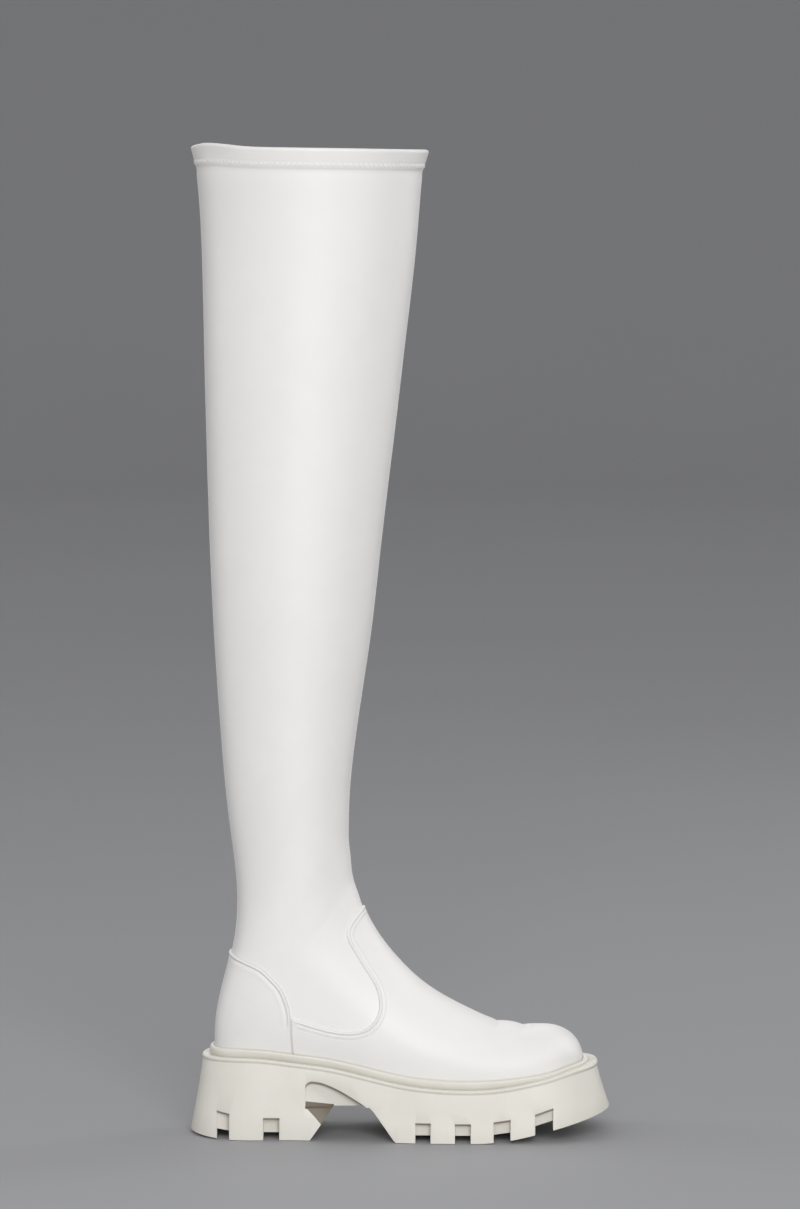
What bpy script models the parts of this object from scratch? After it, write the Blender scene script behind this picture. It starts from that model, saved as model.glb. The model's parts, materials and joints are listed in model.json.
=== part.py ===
"""Right-foot thigh-high boot on a chunky lugged sole with a block heel.

The boot stands on its sole with the toe towards +X, the outer (lateral) side towards -Y, the inner
(medial) side towards +Y and +Z up. Lengths along the foot are stations, counted forward from the back
of the sole. The origin is on the floor, below the middle of the boot's box. Sizes are in millimetres
and the meshes in metres.
"""

import math

import bmesh
import bpy
import numpy as np
from mathutils import Matrix, Vector

MM = 0.001

# Driving dimensions
SOLE_LENGTH = 290.0
TOE_STATION = 270.5
HEEL_STATION = 17.9
UPPER_WALL = 1.8
HEM_HEIGHT = 12.5
HEM_STEP = 0.7
OVERLAY_THICKNESS = 1.2
GAP = 0.3
INSOLE_THICKNESS = 2.5

# How finely the upper is faceted: columns on each side of the ridge, and the mesh rows as shares of
# the way from one section of the SECTIONS table to the next.
COLUMNS_PER_SIDE = 13
TOE_ROWS = (0.0, 0.04, 0.13, 0.28, 0.5, 0.78, 1.2, 1.7, 2.35)
FOOT_ROWS = (3.0, 3.8, 4.6, 5.4, 6.2, 7.0, 7.8, 8.6, 9.2, 9.8, 10.15, 10.45, 10.7, 10.88)
HEEL_ROW = 11.0
SHAFT_ROWS = (11.5, 12.3, 13.1, 14.0, 15.0, 16.0, 17.0, 18.0, 19.2, 20.5, 22.0, 23.0, 24.0, 25.0)
LAST_ROW = 27.0

# Sections of the upper from toe tip to collar. Each lies in a plane that runs from a point on the
# front ridge to a far point, which is on the sole's seat as far back as the heel and on the back line
# above it (a far_z of None means the seat). lateral and medial are the largest half-widths, widest is
# the share of the way from ridge to far point where they are reached, ridge_power and far_power are
# how square the outline is on either side of it, and ridge_y is how far the ridge leans inwards.
SECTION_COLUMNS = (
    "ridge_s", "ridge_z", "far_s", "far_z",
    "lateral", "medial", "widest", "ridge_power", "far_power", "ridge_y",
)
SECTIONS = (
    (270.5, 72.0, 270.5, None, 35.2, 37.6, 0.74, 2.40, 2.4, 1.0),
    (250.0, 72.0, 250.0, None, 39.0, 41.4, 0.74, 2.35, 2.4, 1.5),
    (230.0, 72.2, 230.0, None, 41.8, 43.8, 0.74, 2.30, 2.4, 2.0),
    (211.0, 75.3, 211.0, None, 43.8, 44.6, 0.74, 2.20, 2.4, 3.0),
    (194.5, 82.3, 190.0, None, 44.5, 43.8, 0.72, 2.10, 2.4, 4.0),
    (177.0, 91.4, 164.0, None, 43.6, 41.0, 0.67, 2.05, 2.4, 4.5),
    (159.0, 103.5, 134.0, None, 41.8, 38.6, 0.60, 2.00, 2.4, 4.5),
    (143.5, 118.6, 103.0, None, 39.6, 37.4, 0.53, 2.00, 2.4, 4.0),
    (131.0, 134.2, 73.0, None, 37.8, 36.9, 0.47, 2.00, 2.5, 3.0),
    (121.8, 150.0, 46.0, None, 36.8, 36.8, 0.43, 2.00, 2.6, 2.0),
    (116.2, 164.0, 28.0, None, 36.5, 36.7, 0.41, 2.00, 2.6, 1.0),
    (113.2, 175.0, 17.9, None, 36.4, 36.6, 0.40, 2.00, 2.6, 0.5),
    (111.2, 186.0, 18.1, 76.0, 36.4, 36.5, 0.40, 2.00, 2.6, 0.0),
    (110.0, 197.5, 21.6, 97.0, 36.6, 36.6, 0.41, 2.00, 2.5, 0.0),
    (109.4, 209.5, 27.3, 119.5, 37.0, 37.0, 0.42, 2.00, 2.4, 0.0),
    (109.4, 222.0, 31.6, 141.5, 37.5, 37.5, 0.44, 2.00, 2.2, 0.0),
    (110.0, 236.0, 32.7, 166.0, 38.3, 38.3, 0.46, 2.00, 2.1, 0.0),
    (111.5, 252.0, 30.2, 195.0, 39.8, 39.8, 0.48, 2.00, 2.0, 0.0),
    (114.3, 274.0, 25.6, 234.0, 42.4, 42.4, 0.49, 2.00, 2.0, 0.0),
    (118.8, 306.0, 20.6, 292.0, 46.6, 46.6, 0.50, 2.00, 2.0, 0.0),
    (123.7, 340.0, 17.6, 338.0, 50.1, 50.1, 0.50, 2.00, 2.0, 0.0),
    (128.6, 380.0, 15.7, 380.0, 53.3, 53.3, 0.50, 2.00, 2.0, 0.0),
    (137.6, 459.0, 12.8, 459.0, 58.4, 58.4, 0.50, 2.00, 2.0, 0.0),
    (147.6, 541.0, 11.1, 541.0, 62.8, 62.8, 0.50, 2.00, 2.0, 0.0),
    (153.6, 591.0, 9.9, 591.0, 65.5, 65.5, 0.50, 2.00, 2.0, 0.0),
    (157.4, 632.0, 8.3, 633.0, 67.6, 67.6, 0.50, 2.00, 2.0, 0.0),
    (159.9, 659.0, 6.1, 661.0, 69.6, 69.6, 0.50, 2.00, 2.0, 0.0),
    (163.6, 678.5, 3.4, 681.0, 72.2, 72.2, 0.50, 2.00, 2.0, 0.0),
)
HEEL_SECTION = 11

# The seat's height, the feather line's half-widths before the toe and heel are rounded off, and how
# far the sole's rim and its flared tread edge stand out from the feather line.
SEAT_COLUMNS = ("station", "height")
SEAT = (
    (17.9, 53.8), (45.0, 54.6), (72.0, 51.7), (96.0, 48.7), (120.0, 43.8), (148.0, 37.8),
    (172.0, 35.2), (195.0, 34.6), (215.0, 36.0), (235.0, 39.6), (247.0, 42.8), (258.0, 46.6),
    (270.5, 49.2),
)
FEATHER_COLUMNS = ("station", "lateral", "medial")
FEATHER = (
    (17.9, 29.8, 29.8), (50.0, 30.5, 30.0), (75.0, 31.2, 28.8), (102.0, 33.4, 27.6),
    (130.0, 37.6, 30.4), (158.0, 41.8, 36.6), (185.0, 43.5, 42.3), (206.0, 43.0, 43.8),
    (228.0, 40.9, 42.9), (250.0, 38.0, 40.4), (270.5, 34.2, 36.6),
)
EDGE_COLUMNS = ("station", "rim_out", "tread_out")
EDGE = (
    (17.9, 9.6, 17.9), (42.0, 9.0, 13.4), (100.0, 8.9, 12.6), (160.0, 8.9, 14.0),
    (215.0, 9.0, 14.8), (250.0, 9.6, 16.8), (270.5, 11.0, 19.5),
)

# Roundings of the toe and heel: where each starts, and the power of its superellipse
TOE_PLAN_START, TOE_PLAN_POWER = 231.0, 2.8
TOE_TOP_START, TOE_TOP_POWER = 244.0, 2.3
HEEL_PLAN_START, HEEL_PLAN_POWER = 48.0, 2.3

# Tread: the toe curls up from the rocker's start, and the heel's back edge is eased
ROCKER_START, ROCKER_RISE, ROCKER_POWER = 196.0, 19.0, 1.92
HEEL_EASE_START, HEEL_EASE_RISE = 38.0, 2.4

# Side profile of the sole's top edge: out from the rim (or, for the seat, from the feather line) and
# up from the seat. A fine groove runs under a rounded bead, and the welt stands in the trough behind.
RIM_COLUMNS = ("out", "up")
RIM = (
    (0.0, -2.6), (-0.7, -2.2), (-0.6, -1.7), (0.3, -1.2), (0.4, -0.3), (-0.3, 0.7), (-1.6, 1.2),
    (-3.0, 0.8), (-3.7, -0.3),
)

# Welt: thickness, height above the seat, height of its shoulder, and gap to the panels behind it
WELT_THICKNESS, WELT_HEIGHT, WELT_SHOULDER, WELT_GAP = 2.5, 6.8, 5.4, 0.6
# Share of its height that the welt keeps towards the toe: (station, share)
WELT_SHARES = ((205.0, 1.0), (222.0, 0.86), (236.0, 0.69), (252.0, 0.47), (270.5, 0.38))

# Arch: the open waist between the heel's breast and the forefoot, and the side pockets under the curved
# edge of the waist. The breast is one face that leans forward from its foot to its top. A facet takes off
# each of its upper corners, from a tip on the side wall back and up to the pocket.
ARCH_HEIGHT = 23.2
BREAST_FOOT, BREAST_TOP = 83.0, 99.3
CORNER_TIP_HEIGHT, CORNER_BACK, CORNER_REACH = 11.2, 79.5, 1.3
FOREPART_TOP, FOREPART_FOOT = 124.0, 142.0
FOREPART_EASE = 3.0
POCKET_BACK = 80.0
POCKET_EDGE = ((80.0, 37.5), (82.0, 39.6), (86.0, 40.2), (94.0, 38.4), (106.0, 32.9), (121.0, 23.9))
POCKET_DEPTH = 9.0

# Lugs: notches cut into both sides, and grooves that cross the tread between them
NOTCH_COLUMNS = ("station", "width", "top")
NOTCHES = (
    (23.2, 8.6, 17.0), (56.5, 11.0, 15.0),
    (160.7, 10.4, 13.4), (188.0, 10.8, 13.0), (214.9, 11.6, 13.6), (243.8, 12.4, 13.0),
)
NOTCH_DEPTH = 8.0
GROOVE_DEPTH = 4.4
CUT_BEYOND = 15.0

# Panels in side view: the edge of the vamp from its top at the shin, round the quarter's lobe, to the
# counter's seam, and the edge of the counter from the back of the heel to the sole.
VAMP_EDGE = (
    (126.5, 162.5), (116.5, 154.6), (110.4, 147.6), (108.1, 140.0), (112.0, 130.6), (120.4, 116.8),
    (127.9, 104.6), (130.6, 92.6), (128.2, 83.4), (121.0, 76.6), (109.5, 74.4), (88.9, 77.8),
    (69.8, 83.7),
)
COUNTER_EDGE = (
    (20.0, 129.2), (30.0, 125.4), (42.2, 121.2), (50.4, 117.2), (57.3, 110.8), (62.6, 105.0),
    (66.0, 98.6), (68.6, 91.0), (69.8, 83.0), (70.0, 72.0), (71.4, 55.0),
)
SEAM_GAP = 0.5
PANEL_REACH = 120.0

# Zip on the inner side: a straight line in side view, its chain, and the slider near its top
ZIP_FOOT = (82.0, 86.0)
ZIP_HEAD = (71.5, 372.0)
CHAIN_WIDTH, CHAIN_THICKNESS, CHAIN_LENGTHS = 7.0, 1.3, 22
SLIDER_HEIGHT = 359.0
SLIDER_LENGTH, SLIDER_WIDTH, SLIDER_THICKNESS = 13.0, 9.6, 3.2
SLIDER_WAIST = 6.6
BAIL_WIDTH, BAIL_LENGTH, BAIL_CLEAR, BAIL_THICKNESS = 2.4, 7.0, 2.8, 1.1
PULL_LENGTH, PULL_TOP, PULL_WIDTH, PULL_THICKNESS = 27.0, 6.6, 9.0, 1.6
EYE_HALF_WIDTH, EYE_END = 1.7, 5.9

# Colours are linear, with roughness and metallic
UPPER_FINISH = ((0.80, 0.79, 0.775), 0.42, 0.0)
SOLE_FINISH = ((0.72, 0.70, 0.635), 0.55, 0.0)
INSOLE_FINISH = ((0.62, 0.58, 0.52), 0.85, 0.0)
ZIP_FINISH = ((0.74, 0.73, 0.70), 0.6, 0.0)
METAL_FINISH = ((0.72, 0.71, 0.69), 0.25, 1.0)


# Curves through tables

def natural_spline(knots, values):
    """A function that passes smoothly through the values at the knots, for one or several columns."""
    knots = np.asarray(knots, float)
    values = np.asarray(values, float)
    step = np.diff(knots)
    count = len(knots)
    system = np.zeros((count, count))
    right = np.zeros_like(values)
    system[0, 0] = system[-1, -1] = 1.0
    slope = (np.diff(values, axis=0).T / step).T
    for i in range(1, count - 1):
        system[i, i - 1:i + 2] = step[i - 1], 2 * (step[i - 1] + step[i]), step[i]
        right[i] = 6 * (slope[i] - slope[i - 1])
    bend = np.linalg.solve(system, right)

    def at(x):
        i = int(np.clip(np.searchsorted(knots, x) - 1, 0, count - 2))
        a = (knots[i + 1] - x) / step[i]
        b = 1 - a
        sag = ((a ** 3 - a) * bend[i] + (b ** 3 - b) * bend[i + 1]) * step[i] ** 2 / 6
        return a * values[i] + b * values[i + 1] + sag

    return at


def table_spline(table):
    """A spline through a table whose first column is the station."""
    rows = np.array(table)
    return natural_spline(rows[:, 0], rows[:, 1:])


def smooth_outline(points, per_span=4):
    """Points on a smooth curve through a few points of an outline."""
    points = np.array(points)
    along = np.concatenate([[0], np.cumsum(np.linalg.norm(np.diff(points, axis=0), axis=1))])
    curve = natural_spline(along, points)
    places = [
        along[i] + (along[i + 1] - along[i]) * k / per_span
        for i in range(len(along) - 1) for k in range(per_span)
    ]
    return [tuple(curve(place)) for place in places] + [tuple(points[-1])]


def rounding(share, power):
    """A superellipse's height: 1 at a share of 0 or less, falling to 0 at a share of 1."""
    share = min(max(share, 0.0), 1.0)
    return (1 - share ** power) ** (1 / power)


seat_spline = table_spline(SEAT)
feather_spline = table_spline(FEATHER)
edge_spline = table_spline(EDGE)


def seat_height(station):
    return float(seat_spline(station)[0])


def tread_height(station):
    """Height of the tread's edge over the floor: flat, but for the curled toe and the eased heel."""
    curl = max(0.0, (station - ROCKER_START) / (TOE_STATION - ROCKER_START))
    ease = max(0.0, (HEEL_EASE_START - station) / (HEEL_EASE_START - HEEL_STATION))
    return ROCKER_RISE * curl ** ROCKER_POWER + HEEL_EASE_RISE * ease ** 2


def plan_rounding(station):
    toe = rounding((station - TOE_PLAN_START) / (TOE_STATION - TOE_PLAN_START), TOE_PLAN_POWER)
    heel = rounding((HEEL_PLAN_START - station) / (HEEL_PLAN_START - HEEL_STATION), HEEL_PLAN_POWER)
    return toe * heel


# The upper's own function

def section_splines():
    """Splines along the sections, with the far point's path broken at the heel, where it turns up."""
    column = {name: [row[i] for row in SECTIONS] for i, name in enumerate(SECTION_COLUMNS)}
    last = len(SECTIONS) - 1
    places = np.arange(last + 1.0)
    shape = np.array([column[name] for name in SECTION_COLUMNS if not name.startswith("far_")]).T
    shape = np.column_stack([shape, column["far_power"]])
    names = [name for name in SECTION_COLUMNS if not name.startswith("far_")] + ["far_power"]
    back = slice(HEEL_SECTION, last + 1)
    back_heights = [seat_height(HEEL_STATION)] + column["far_z"][HEEL_SECTION + 1:]
    return {
        "names": names,
        "shape": natural_spline(places, shape),
        "seat_s": natural_spline(places[:HEEL_SECTION + 1], column["far_s"][:HEEL_SECTION + 1]),
        "back": natural_spline(places[back], np.column_stack([column["far_s"][back], back_heights])),
    }


SPLINES = section_splines()


def section(row):
    """Shape of the upper's section at a row of the table, whole or in between."""
    shape = dict(zip(SPLINES["names"], SPLINES["shape"](row)))
    ridge = np.array([shape["ridge_s"], shape["ridge_z"]])
    on_seat = row < HEEL_ROW
    if on_seat:
        far_s = float(SPLINES["seat_s"](row))
        far = np.array([far_s, seat_height(far_s)])
        ends = feather_spline(far_s)
    else:
        far = np.array(SPLINES["back"](row))
        ends = np.zeros(2)
    plan = 1.0
    if row <= 3.0:
        ridge[0] = far[0]
        plan = rounding((far[0] - TOE_PLAN_START) / (TOE_STATION - TOE_PLAN_START), TOE_PLAN_POWER)
        lift = rounding((far[0] - TOE_TOP_START) / (TOE_STATION - TOE_TOP_START), TOE_TOP_POWER)
        ridge[1] = far[1] + (ridge[1] - far[1]) * lift
    heel = plan_rounding(far[0]) if on_seat and row > 3.0 else 1.0
    return {
        "ridge": ridge,
        "far": far,
        "half": (shape["lateral"] * plan, shape["medial"] * plan),
        "end": (ends[0] / shape["lateral"] * heel, ends[1] / shape["medial"] * heel),
        "widest": shape["widest"],
        "powers": (shape["ridge_power"], shape["far_power"]),
        "lean": shape["ridge_y"] * plan,
    }


def half_width(shape, side, share):
    """Half-width of a section at a share of the way from its ridge to its far point."""
    half, end, widest = shape["half"][side], min(shape["end"][side], 1.0), shape["widest"]
    ridge_power, far_power = shape["powers"]
    if share < widest:
        return half * rounding(1 - share / widest, ridge_power)
    fade = ((share - widest) / (1 - widest)) ** far_power
    return half * (1 - fade * (1 - end ** far_power)) ** (1 / far_power)


def section_point(shape, side, share):
    """Point of the upper on a section: side 0 is lateral and side 1 medial."""
    place = shape["ridge"] + (shape["far"] - shape["ridge"]) * share
    sign = (-1.0, 1.0)[side]
    across = shape["lean"] * (1 - share) ** 2 + sign * half_width(shape, side, share)
    return np.array([place[0], across, place[1]])


def section_side(shape, side, count, samples=160):
    """Evenly spaced points on one side of a section, from its ridge to its far end."""
    shares = (1 - np.cos(np.linspace(0, math.pi, samples))) / 2
    points = np.array([section_point(shape, side, share) for share in shares])
    along = np.concatenate([[0], np.cumsum(np.linalg.norm(np.diff(points, axis=0), axis=1))])
    wanted = np.linspace(0, along[-1], count + 1)
    return np.column_stack([np.interp(wanted, along, points[:, axis]) for axis in range(3)])


def wall_point(station, height, side):
    """Point of the upper's side wall at a station and height."""

    def offset(row):
        shape = section(row)
        run = shape["far"] - shape["ridge"]
        return run[0] * (height - shape["ridge"][1]) - run[1] * (station - shape["ridge"][0])

    low, high = 0.01, LAST_ROW
    for _ in range(60):
        middle = (low + high) / 2
        if offset(low) * offset(middle) <= 0:
            high = middle
        else:
            low = middle
    shape = section(low)
    run = shape["far"] - shape["ridge"]
    share = np.dot(np.array([station, height]) - shape["ridge"], run) / np.dot(run, run)
    return section_point(shape, side, share)


def wall_normal(station, height, side, step=1.5):
    """Outward normal of the upper's side wall at a station and height."""
    along = wall_point(station + step, height, side) - wall_point(station - step, height, side)
    up = wall_point(station, height + step, side) - wall_point(station, height - step, side)
    normal = np.cross(up, along) * (-1.0, 1.0)[side]
    return normal / np.linalg.norm(normal)


# Meshes

def to_row_frame(points):
    """Points counted from the back of the sole, in millimetres, moved to the origin and to metres."""
    return (np.asarray(points, float) - (SOLE_LENGTH / 2, 0, 0)) * MM


def finish_object(name, finish):
    colour, roughness, metallic = finish
    material = bpy.data.materials.new(name)
    material.use_nodes = True
    shader = material.node_tree.nodes["Principled BSDF"]
    shader.inputs["Base Color"].default_value = (*colour, 1.0)
    shader.inputs["Roughness"].default_value = roughness
    shader.inputs["Metallic"].default_value = metallic
    return material


def add_object(name, points, faces, finish=None):
    """A mesh object from points in millimetres. With no finish it is a cutter, which isn't shown."""
    mesh = bpy.data.meshes.new(name)
    mesh.from_pydata([tuple(p) for p in to_row_frame(points)], [], faces)
    body = bmesh.new()
    body.from_mesh(mesh)
    bmesh.ops.recalc_face_normals(body, faces=body.faces)
    body.to_mesh(mesh)
    body.free()
    made = bpy.data.objects.new(name, mesh)
    bpy.context.scene.collection.objects.link(made)
    if finish is None:
        made.hide_render = True
        made.display_type = "WIRE"
    else:
        mesh.materials.append(finish_object(name, finish))
        mesh.shade_smooth()
        mesh.set_sharp_from_angle(angle=math.radians(35))
    return made


def boolean(target, operation, cutters):
    """Cuts target by cutters, or keeps what it shares with them."""
    group = bpy.data.collections.new(target.name + "_cutters")
    for cutter in cutters:
        group.objects.link(cutter)
    modifier = target.modifiers.new(operation.lower(), "BOOLEAN")
    modifier.operation = operation
    modifier.solver = "EXACT"
    modifier.operand_type = "COLLECTION"
    modifier.collection = group


def prism(name, outline, low_y, high_y):
    """A cutter: an outline of (station, height) points, drawn out across the boot."""
    count = len(outline)
    points = [(s, y, z) for y in (low_y, high_y) for s, z in outline]
    sides = [(i, (i + 1) % count, count + (i + 1) % count, count + i) for i in range(count)]
    return add_object(name, points, [tuple(range(count)), tuple(range(count, 2 * count)), *sides])


def surface(rows):
    """Points and faces of the upper's surface through these rows: one point at the toe, open along the
    feather line, and joined along the back of the heel and shaft. Also the row of each point, and
    outward normals, which are level along the feather line."""
    points, index, row_of, feather = [], [], [], []
    for row in rows:
        shape = section(row)
        lateral = section_side(shape, 0, COLUMNS_PER_SIDE)
        medial = section_side(shape, 1, COLUMNS_PER_SIDE)
        line = [*lateral[::-1], *medial[1:]]
        first = len(points)
        if row == rows[0]:
            line = line[:1]
            places = [first] * (2 * COLUMNS_PER_SIDE + 1)
        elif row >= HEEL_ROW:
            line = line[:-1]
            places = [*range(first, first + len(line)), first]
        else:
            places = list(range(first, first + len(line)))
        points += line
        row_of += [row] * len(line)
        index.append(places)
        if row <= HEEL_ROW:
            feather += [places[0], places[-1]]
    faces = []
    for upper, lower in zip(index, index[1:]):
        for i in range(2 * COLUMNS_PER_SIDE):
            near, far = (i, i + 1) if i < COLUMNS_PER_SIDE else (i + 1, i)
            halves = ((upper[near], upper[far], lower[far]), (upper[near], lower[far], lower[near]))
            for half in halves:
                if len(set(half)) == 3:
                    faces.append(half if near < far else half[::-1])
    points = np.array(points)
    normals = np.zeros_like(points)
    for face in faces:
        a, b, c = (points[face[i]] for i in (0, 1, -1))
        facing = np.cross(b - a, c - a)
        for corner in face:
            normals[corner] += facing
    normals[feather, 2] = 0.0
    normals /= np.linalg.norm(normals, axis=1)[:, None]
    return points, faces, normals, np.array(row_of)


def thickened(points, faces, normals, inner, outer):
    """A closed wall between two offsets of an open surface, each one number or one for each point."""
    count = len(points)
    inner = np.broadcast_to(inner, count)[:, None]
    outer = np.broadcast_to(outer, count)[:, None]
    walls = [*faces, *(tuple(count + i for i in reversed(face)) for face in faces)]
    edges = {}
    for face in faces:
        for a, b in zip(face, (*face[1:], face[0])):
            edges[(a, b)] = (b, a)
    rim = [(b, a, count + a, count + b) for (a, b), back in edges.items() if back not in edges]
    return np.vstack([points + normals * outer, points + normals * inner]), walls + rim


# The feather line and what follows it

SEAT_ROWS = (*TOE_ROWS, *FOOT_ROWS, HEEL_ROW)


def feather_loop():
    """The feather line as seen from above, from the toe round the lateral side to the heel and back
    by the medial side, with the station and the outward normal of each point."""
    sides = []
    for side in (0, 1):
        sides.append([section_point(section(row), side, 1.0) for row in SEAT_ROWS])
    loop = np.array([*sides[0], *sides[1][-2:0:-1]])
    along = np.roll(loop, -1, axis=0) - np.roll(loop, 1, axis=0)
    normals = np.column_stack([along[:, 1], -along[:, 0]])
    normals /= np.linalg.norm(normals, axis=1)[:, None]
    return loop[:, :2], loop[:, 0], -normals


LOOP, LOOP_STATIONS, LOOP_NORMALS = feather_loop()


def loop_level(out, height):
    """The feather line moved outwards, at a height: each one number or one for each point."""
    out = np.broadcast_to(out, len(LOOP))[:, None]
    height = np.broadcast_to(height, len(LOOP))[:, None]
    return np.hstack([LOOP + LOOP_NORMALS * out, height])


def bands(levels, closed):
    """Faces between loops of equal length, and from the last to the first if closed."""
    count = len(levels[0])
    pairs = list(zip(range(len(levels)), range(1, len(levels))))
    pairs += [(len(levels) - 1, 0)] if closed else []
    return [
        (a * count + i, a * count + (i + 1) % count, b * count + (i + 1) % count, b * count + i)
        for a, b in pairs for i in range(count)
    ]


def cap(first):
    """Faces across a loop, from its lateral to its medial points."""
    count = len(LOOP)
    heel = len(SEAT_ROWS) - 1
    faces = [(first, first + 1, first + count - 1)]
    for i in range(1, heel - 1):
        faces.append((first + i, first + i + 1, first + count - i - 1, first + count - i))
    return [*faces, (first + heel - 1, first + heel, first + heel + 1)]


def capped_solid(name, levels, finish):
    faces = bands(levels, closed=False) + cap(0) + cap((len(levels) - 1) * len(LOOP))
    return add_object(name, np.vstack(levels), faces, finish)


def edge_outs():
    """How far the rim and the tread's edge stand out at each point of the feather line."""
    return np.array([edge_spline(s) for s in LOOP_STATIONS]).T


# Pieces

def build_outsole():
    seat = np.array([seat_height(s) for s in LOOP_STATIONS])
    tread = np.array([tread_height(s) for s in LOOP_STATIONS])
    rim_out, tread_out = edge_outs()
    levels = [loop_level(tread_out, tread)]
    levels += [loop_level(rim_out + out, seat + up) for out, up in RIM]
    levels.append(loop_level(0.0, seat - GAP))
    outsole = capped_solid("outsole", levels, SOLE_FINISH)
    boolean(outsole, "DIFFERENCE", [*arch_cutters(), *lug_cutters()])


def side_wall(station, height, side):
    """Half-width of the sole's side wall at a station and height."""
    rim_out, tread_out = edge_spline(station)
    share = height / (seat_height(station) + RIM[0][1])
    return feather_spline(station)[side] + tread_out + (rim_out - tread_out) * share


def corner_cutter(side, sign, inner):
    """What the facet on one corner of the breast takes off: a wedge that widens out of the sole."""
    tip_station = BREAST_FOOT + (BREAST_TOP - BREAST_FOOT) * CORNER_TIP_HEIGHT / ARCH_HEIGHT
    front = np.array([BREAST_TOP, sign * inner, ARCH_HEIGHT])
    back = (CORNER_BACK, sign * side_wall(CORNER_BACK, ARCH_HEIGHT, side), ARCH_HEIGHT)
    tip = (tip_station, sign * side_wall(tip_station, CORNER_TIP_HEIGHT, side), CORNER_TIP_HEIGHT)
    beyond = [front + CORNER_REACH * (np.array(point) - front) for point in (back, tip)]
    points = [front, *beyond, (BREAST_TOP, sign * PANEL_REACH, ARCH_HEIGHT)]
    faces = [(0, 1, 2), (0, 1, 3), (0, 2, 3), (1, 2, 3)]
    return add_object("corner_cutter_%d" % side, points, faces)


def arch_cutters():
    """The open waist under the arch, and on each side a pocket under its curved edge and a facet."""
    waist = (
        (BREAST_FOOT, -CUT_BEYOND), (BREAST_FOOT, 0.0), (BREAST_TOP, ARCH_HEIGHT),
        (FOREPART_TOP, ARCH_HEIGHT), (FOREPART_TOP + FOREPART_EASE, ARCH_HEIGHT - FOREPART_EASE),
        (FOREPART_FOOT - FOREPART_EASE / 2, FOREPART_EASE / 2), (FOREPART_FOOT, 0.0),
        (FOREPART_FOOT, -CUT_BEYOND),
    )
    pocket = [(POCKET_BACK, ARCH_HEIGHT - 1), *smooth_outline(POCKET_EDGE, 2)]
    pocket += [(POCKET_EDGE[-1][0], ARCH_HEIGHT - 1)]
    cutters = [prism("waist_cutter", waist, -PANEL_REACH, PANEL_REACH)]
    middle = (POCKET_BACK + POCKET_EDGE[-1][0]) / 2
    widths = feather_spline(middle)
    tread_out = edge_spline(middle)[1]
    for side, sign in ((0, -1.0), (1, 1.0)):
        inner = widths[side] + tread_out - POCKET_DEPTH
        cutters.append(prism("pocket_cutter_%d" % side, pocket, sign * inner, sign * PANEL_REACH))
        cutters.append(corner_cutter(side, sign, inner))
    return cutters


def lug_cutters():
    """A notch at each side of the tread and a shallower groove across it, for each row of notches."""
    cutters = []
    for i, (station, width, top) in enumerate(NOTCHES):
        floor = tread_height(station)
        left, right = station - width / 2, station + width / 2
        rise = tread_height(right) - tread_height(left)
        groove = [(left, -CUT_BEYOND), (right, -CUT_BEYOND)]
        groove += [(right, floor + GROOVE_DEPTH + rise / 2), (left, floor + GROOVE_DEPTH - rise / 2)]
        cutters.append(prism("groove_cutter_%d" % i, groove, -PANEL_REACH, PANEL_REACH))
        notch = [*groove[:2], (right, floor + top + rise / 2), (left, floor + top - rise / 2)]
        for side, sign in ((0, -1.0), (1, 1.0)):
            inner = sign * (tread_half_width(station, side) - NOTCH_DEPTH)
            name = "notch_cutter_%d_%d" % (i, side)
            cutters.append(prism(name, notch, inner, sign * PANEL_REACH))
    return cutters


def tread_half_width(station, side):
    """Half-width of the tread's edge, which is the feather line moved outwards."""
    half = len(SEAT_ROWS)
    line = loop_level(edge_outs()[1], 0.0)
    line = line[:half][::-1] if side == 0 else np.vstack([line[half - 1:], line[:1]])
    return float(abs(np.interp(station, line[:, 0], line[:, 1])))


def wall_lean(i, up):
    """How far the upper's wall has leant outwards at a height above a point of the feather line."""
    station = LOOP_STATIONS[i]
    if not HEEL_STATION + 0.5 < station < TOE_STATION - 0.5:
        return 0.0
    seat = seat_height(station)
    side = int(i >= len(SEAT_ROWS))
    foot = wall_point(station, seat + 0.01, side)
    lifted = wall_point(station, seat + 0.01 + up, side)
    return max(0.0, (abs(lifted[1]) - abs(foot[1])) * abs(LOOP_NORMALS[i][1]))


def build_welt():
    """A strip stood on the sole round the foot of the upper, with a rounded top edge, lower at the toe."""
    seat = np.array([seat_height(s) for s in LOOP_STATIONS])
    inner = GAP + OVERLAY_THICKNESS + WELT_GAP
    outer = inner + WELT_THICKNESS
    ease = WELT_THICKNESS / 4
    profile = (
        (inner, 0.0), (outer, 0.0), (outer, WELT_SHOULDER), (outer - ease, WELT_HEIGHT - ease / 2),
        (inner + ease, WELT_HEIGHT), (inner, WELT_HEIGHT - ease),
    )
    share = np.interp(LOOP_STATIONS, *zip(*WELT_SHARES))
    levels = []
    for out, up in profile:
        lean = np.array([wall_lean(i, up * share[i]) for i in range(len(LOOP))])
        levels.append(loop_level(out + lean, seat + up * share))
    add_object("welt", np.vstack(levels), bands(levels, closed=True), SOLE_FINISH)


def build_insole():
    seat = np.array([seat_height(s) for s in LOOP_STATIONS])
    inside = -UPPER_WALL - 2 * GAP
    levels = [loop_level(inside, seat), loop_level(inside, seat + INSOLE_THICKNESS)]
    capped_solid("insole", levels, INSOLE_FINISH)


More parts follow.
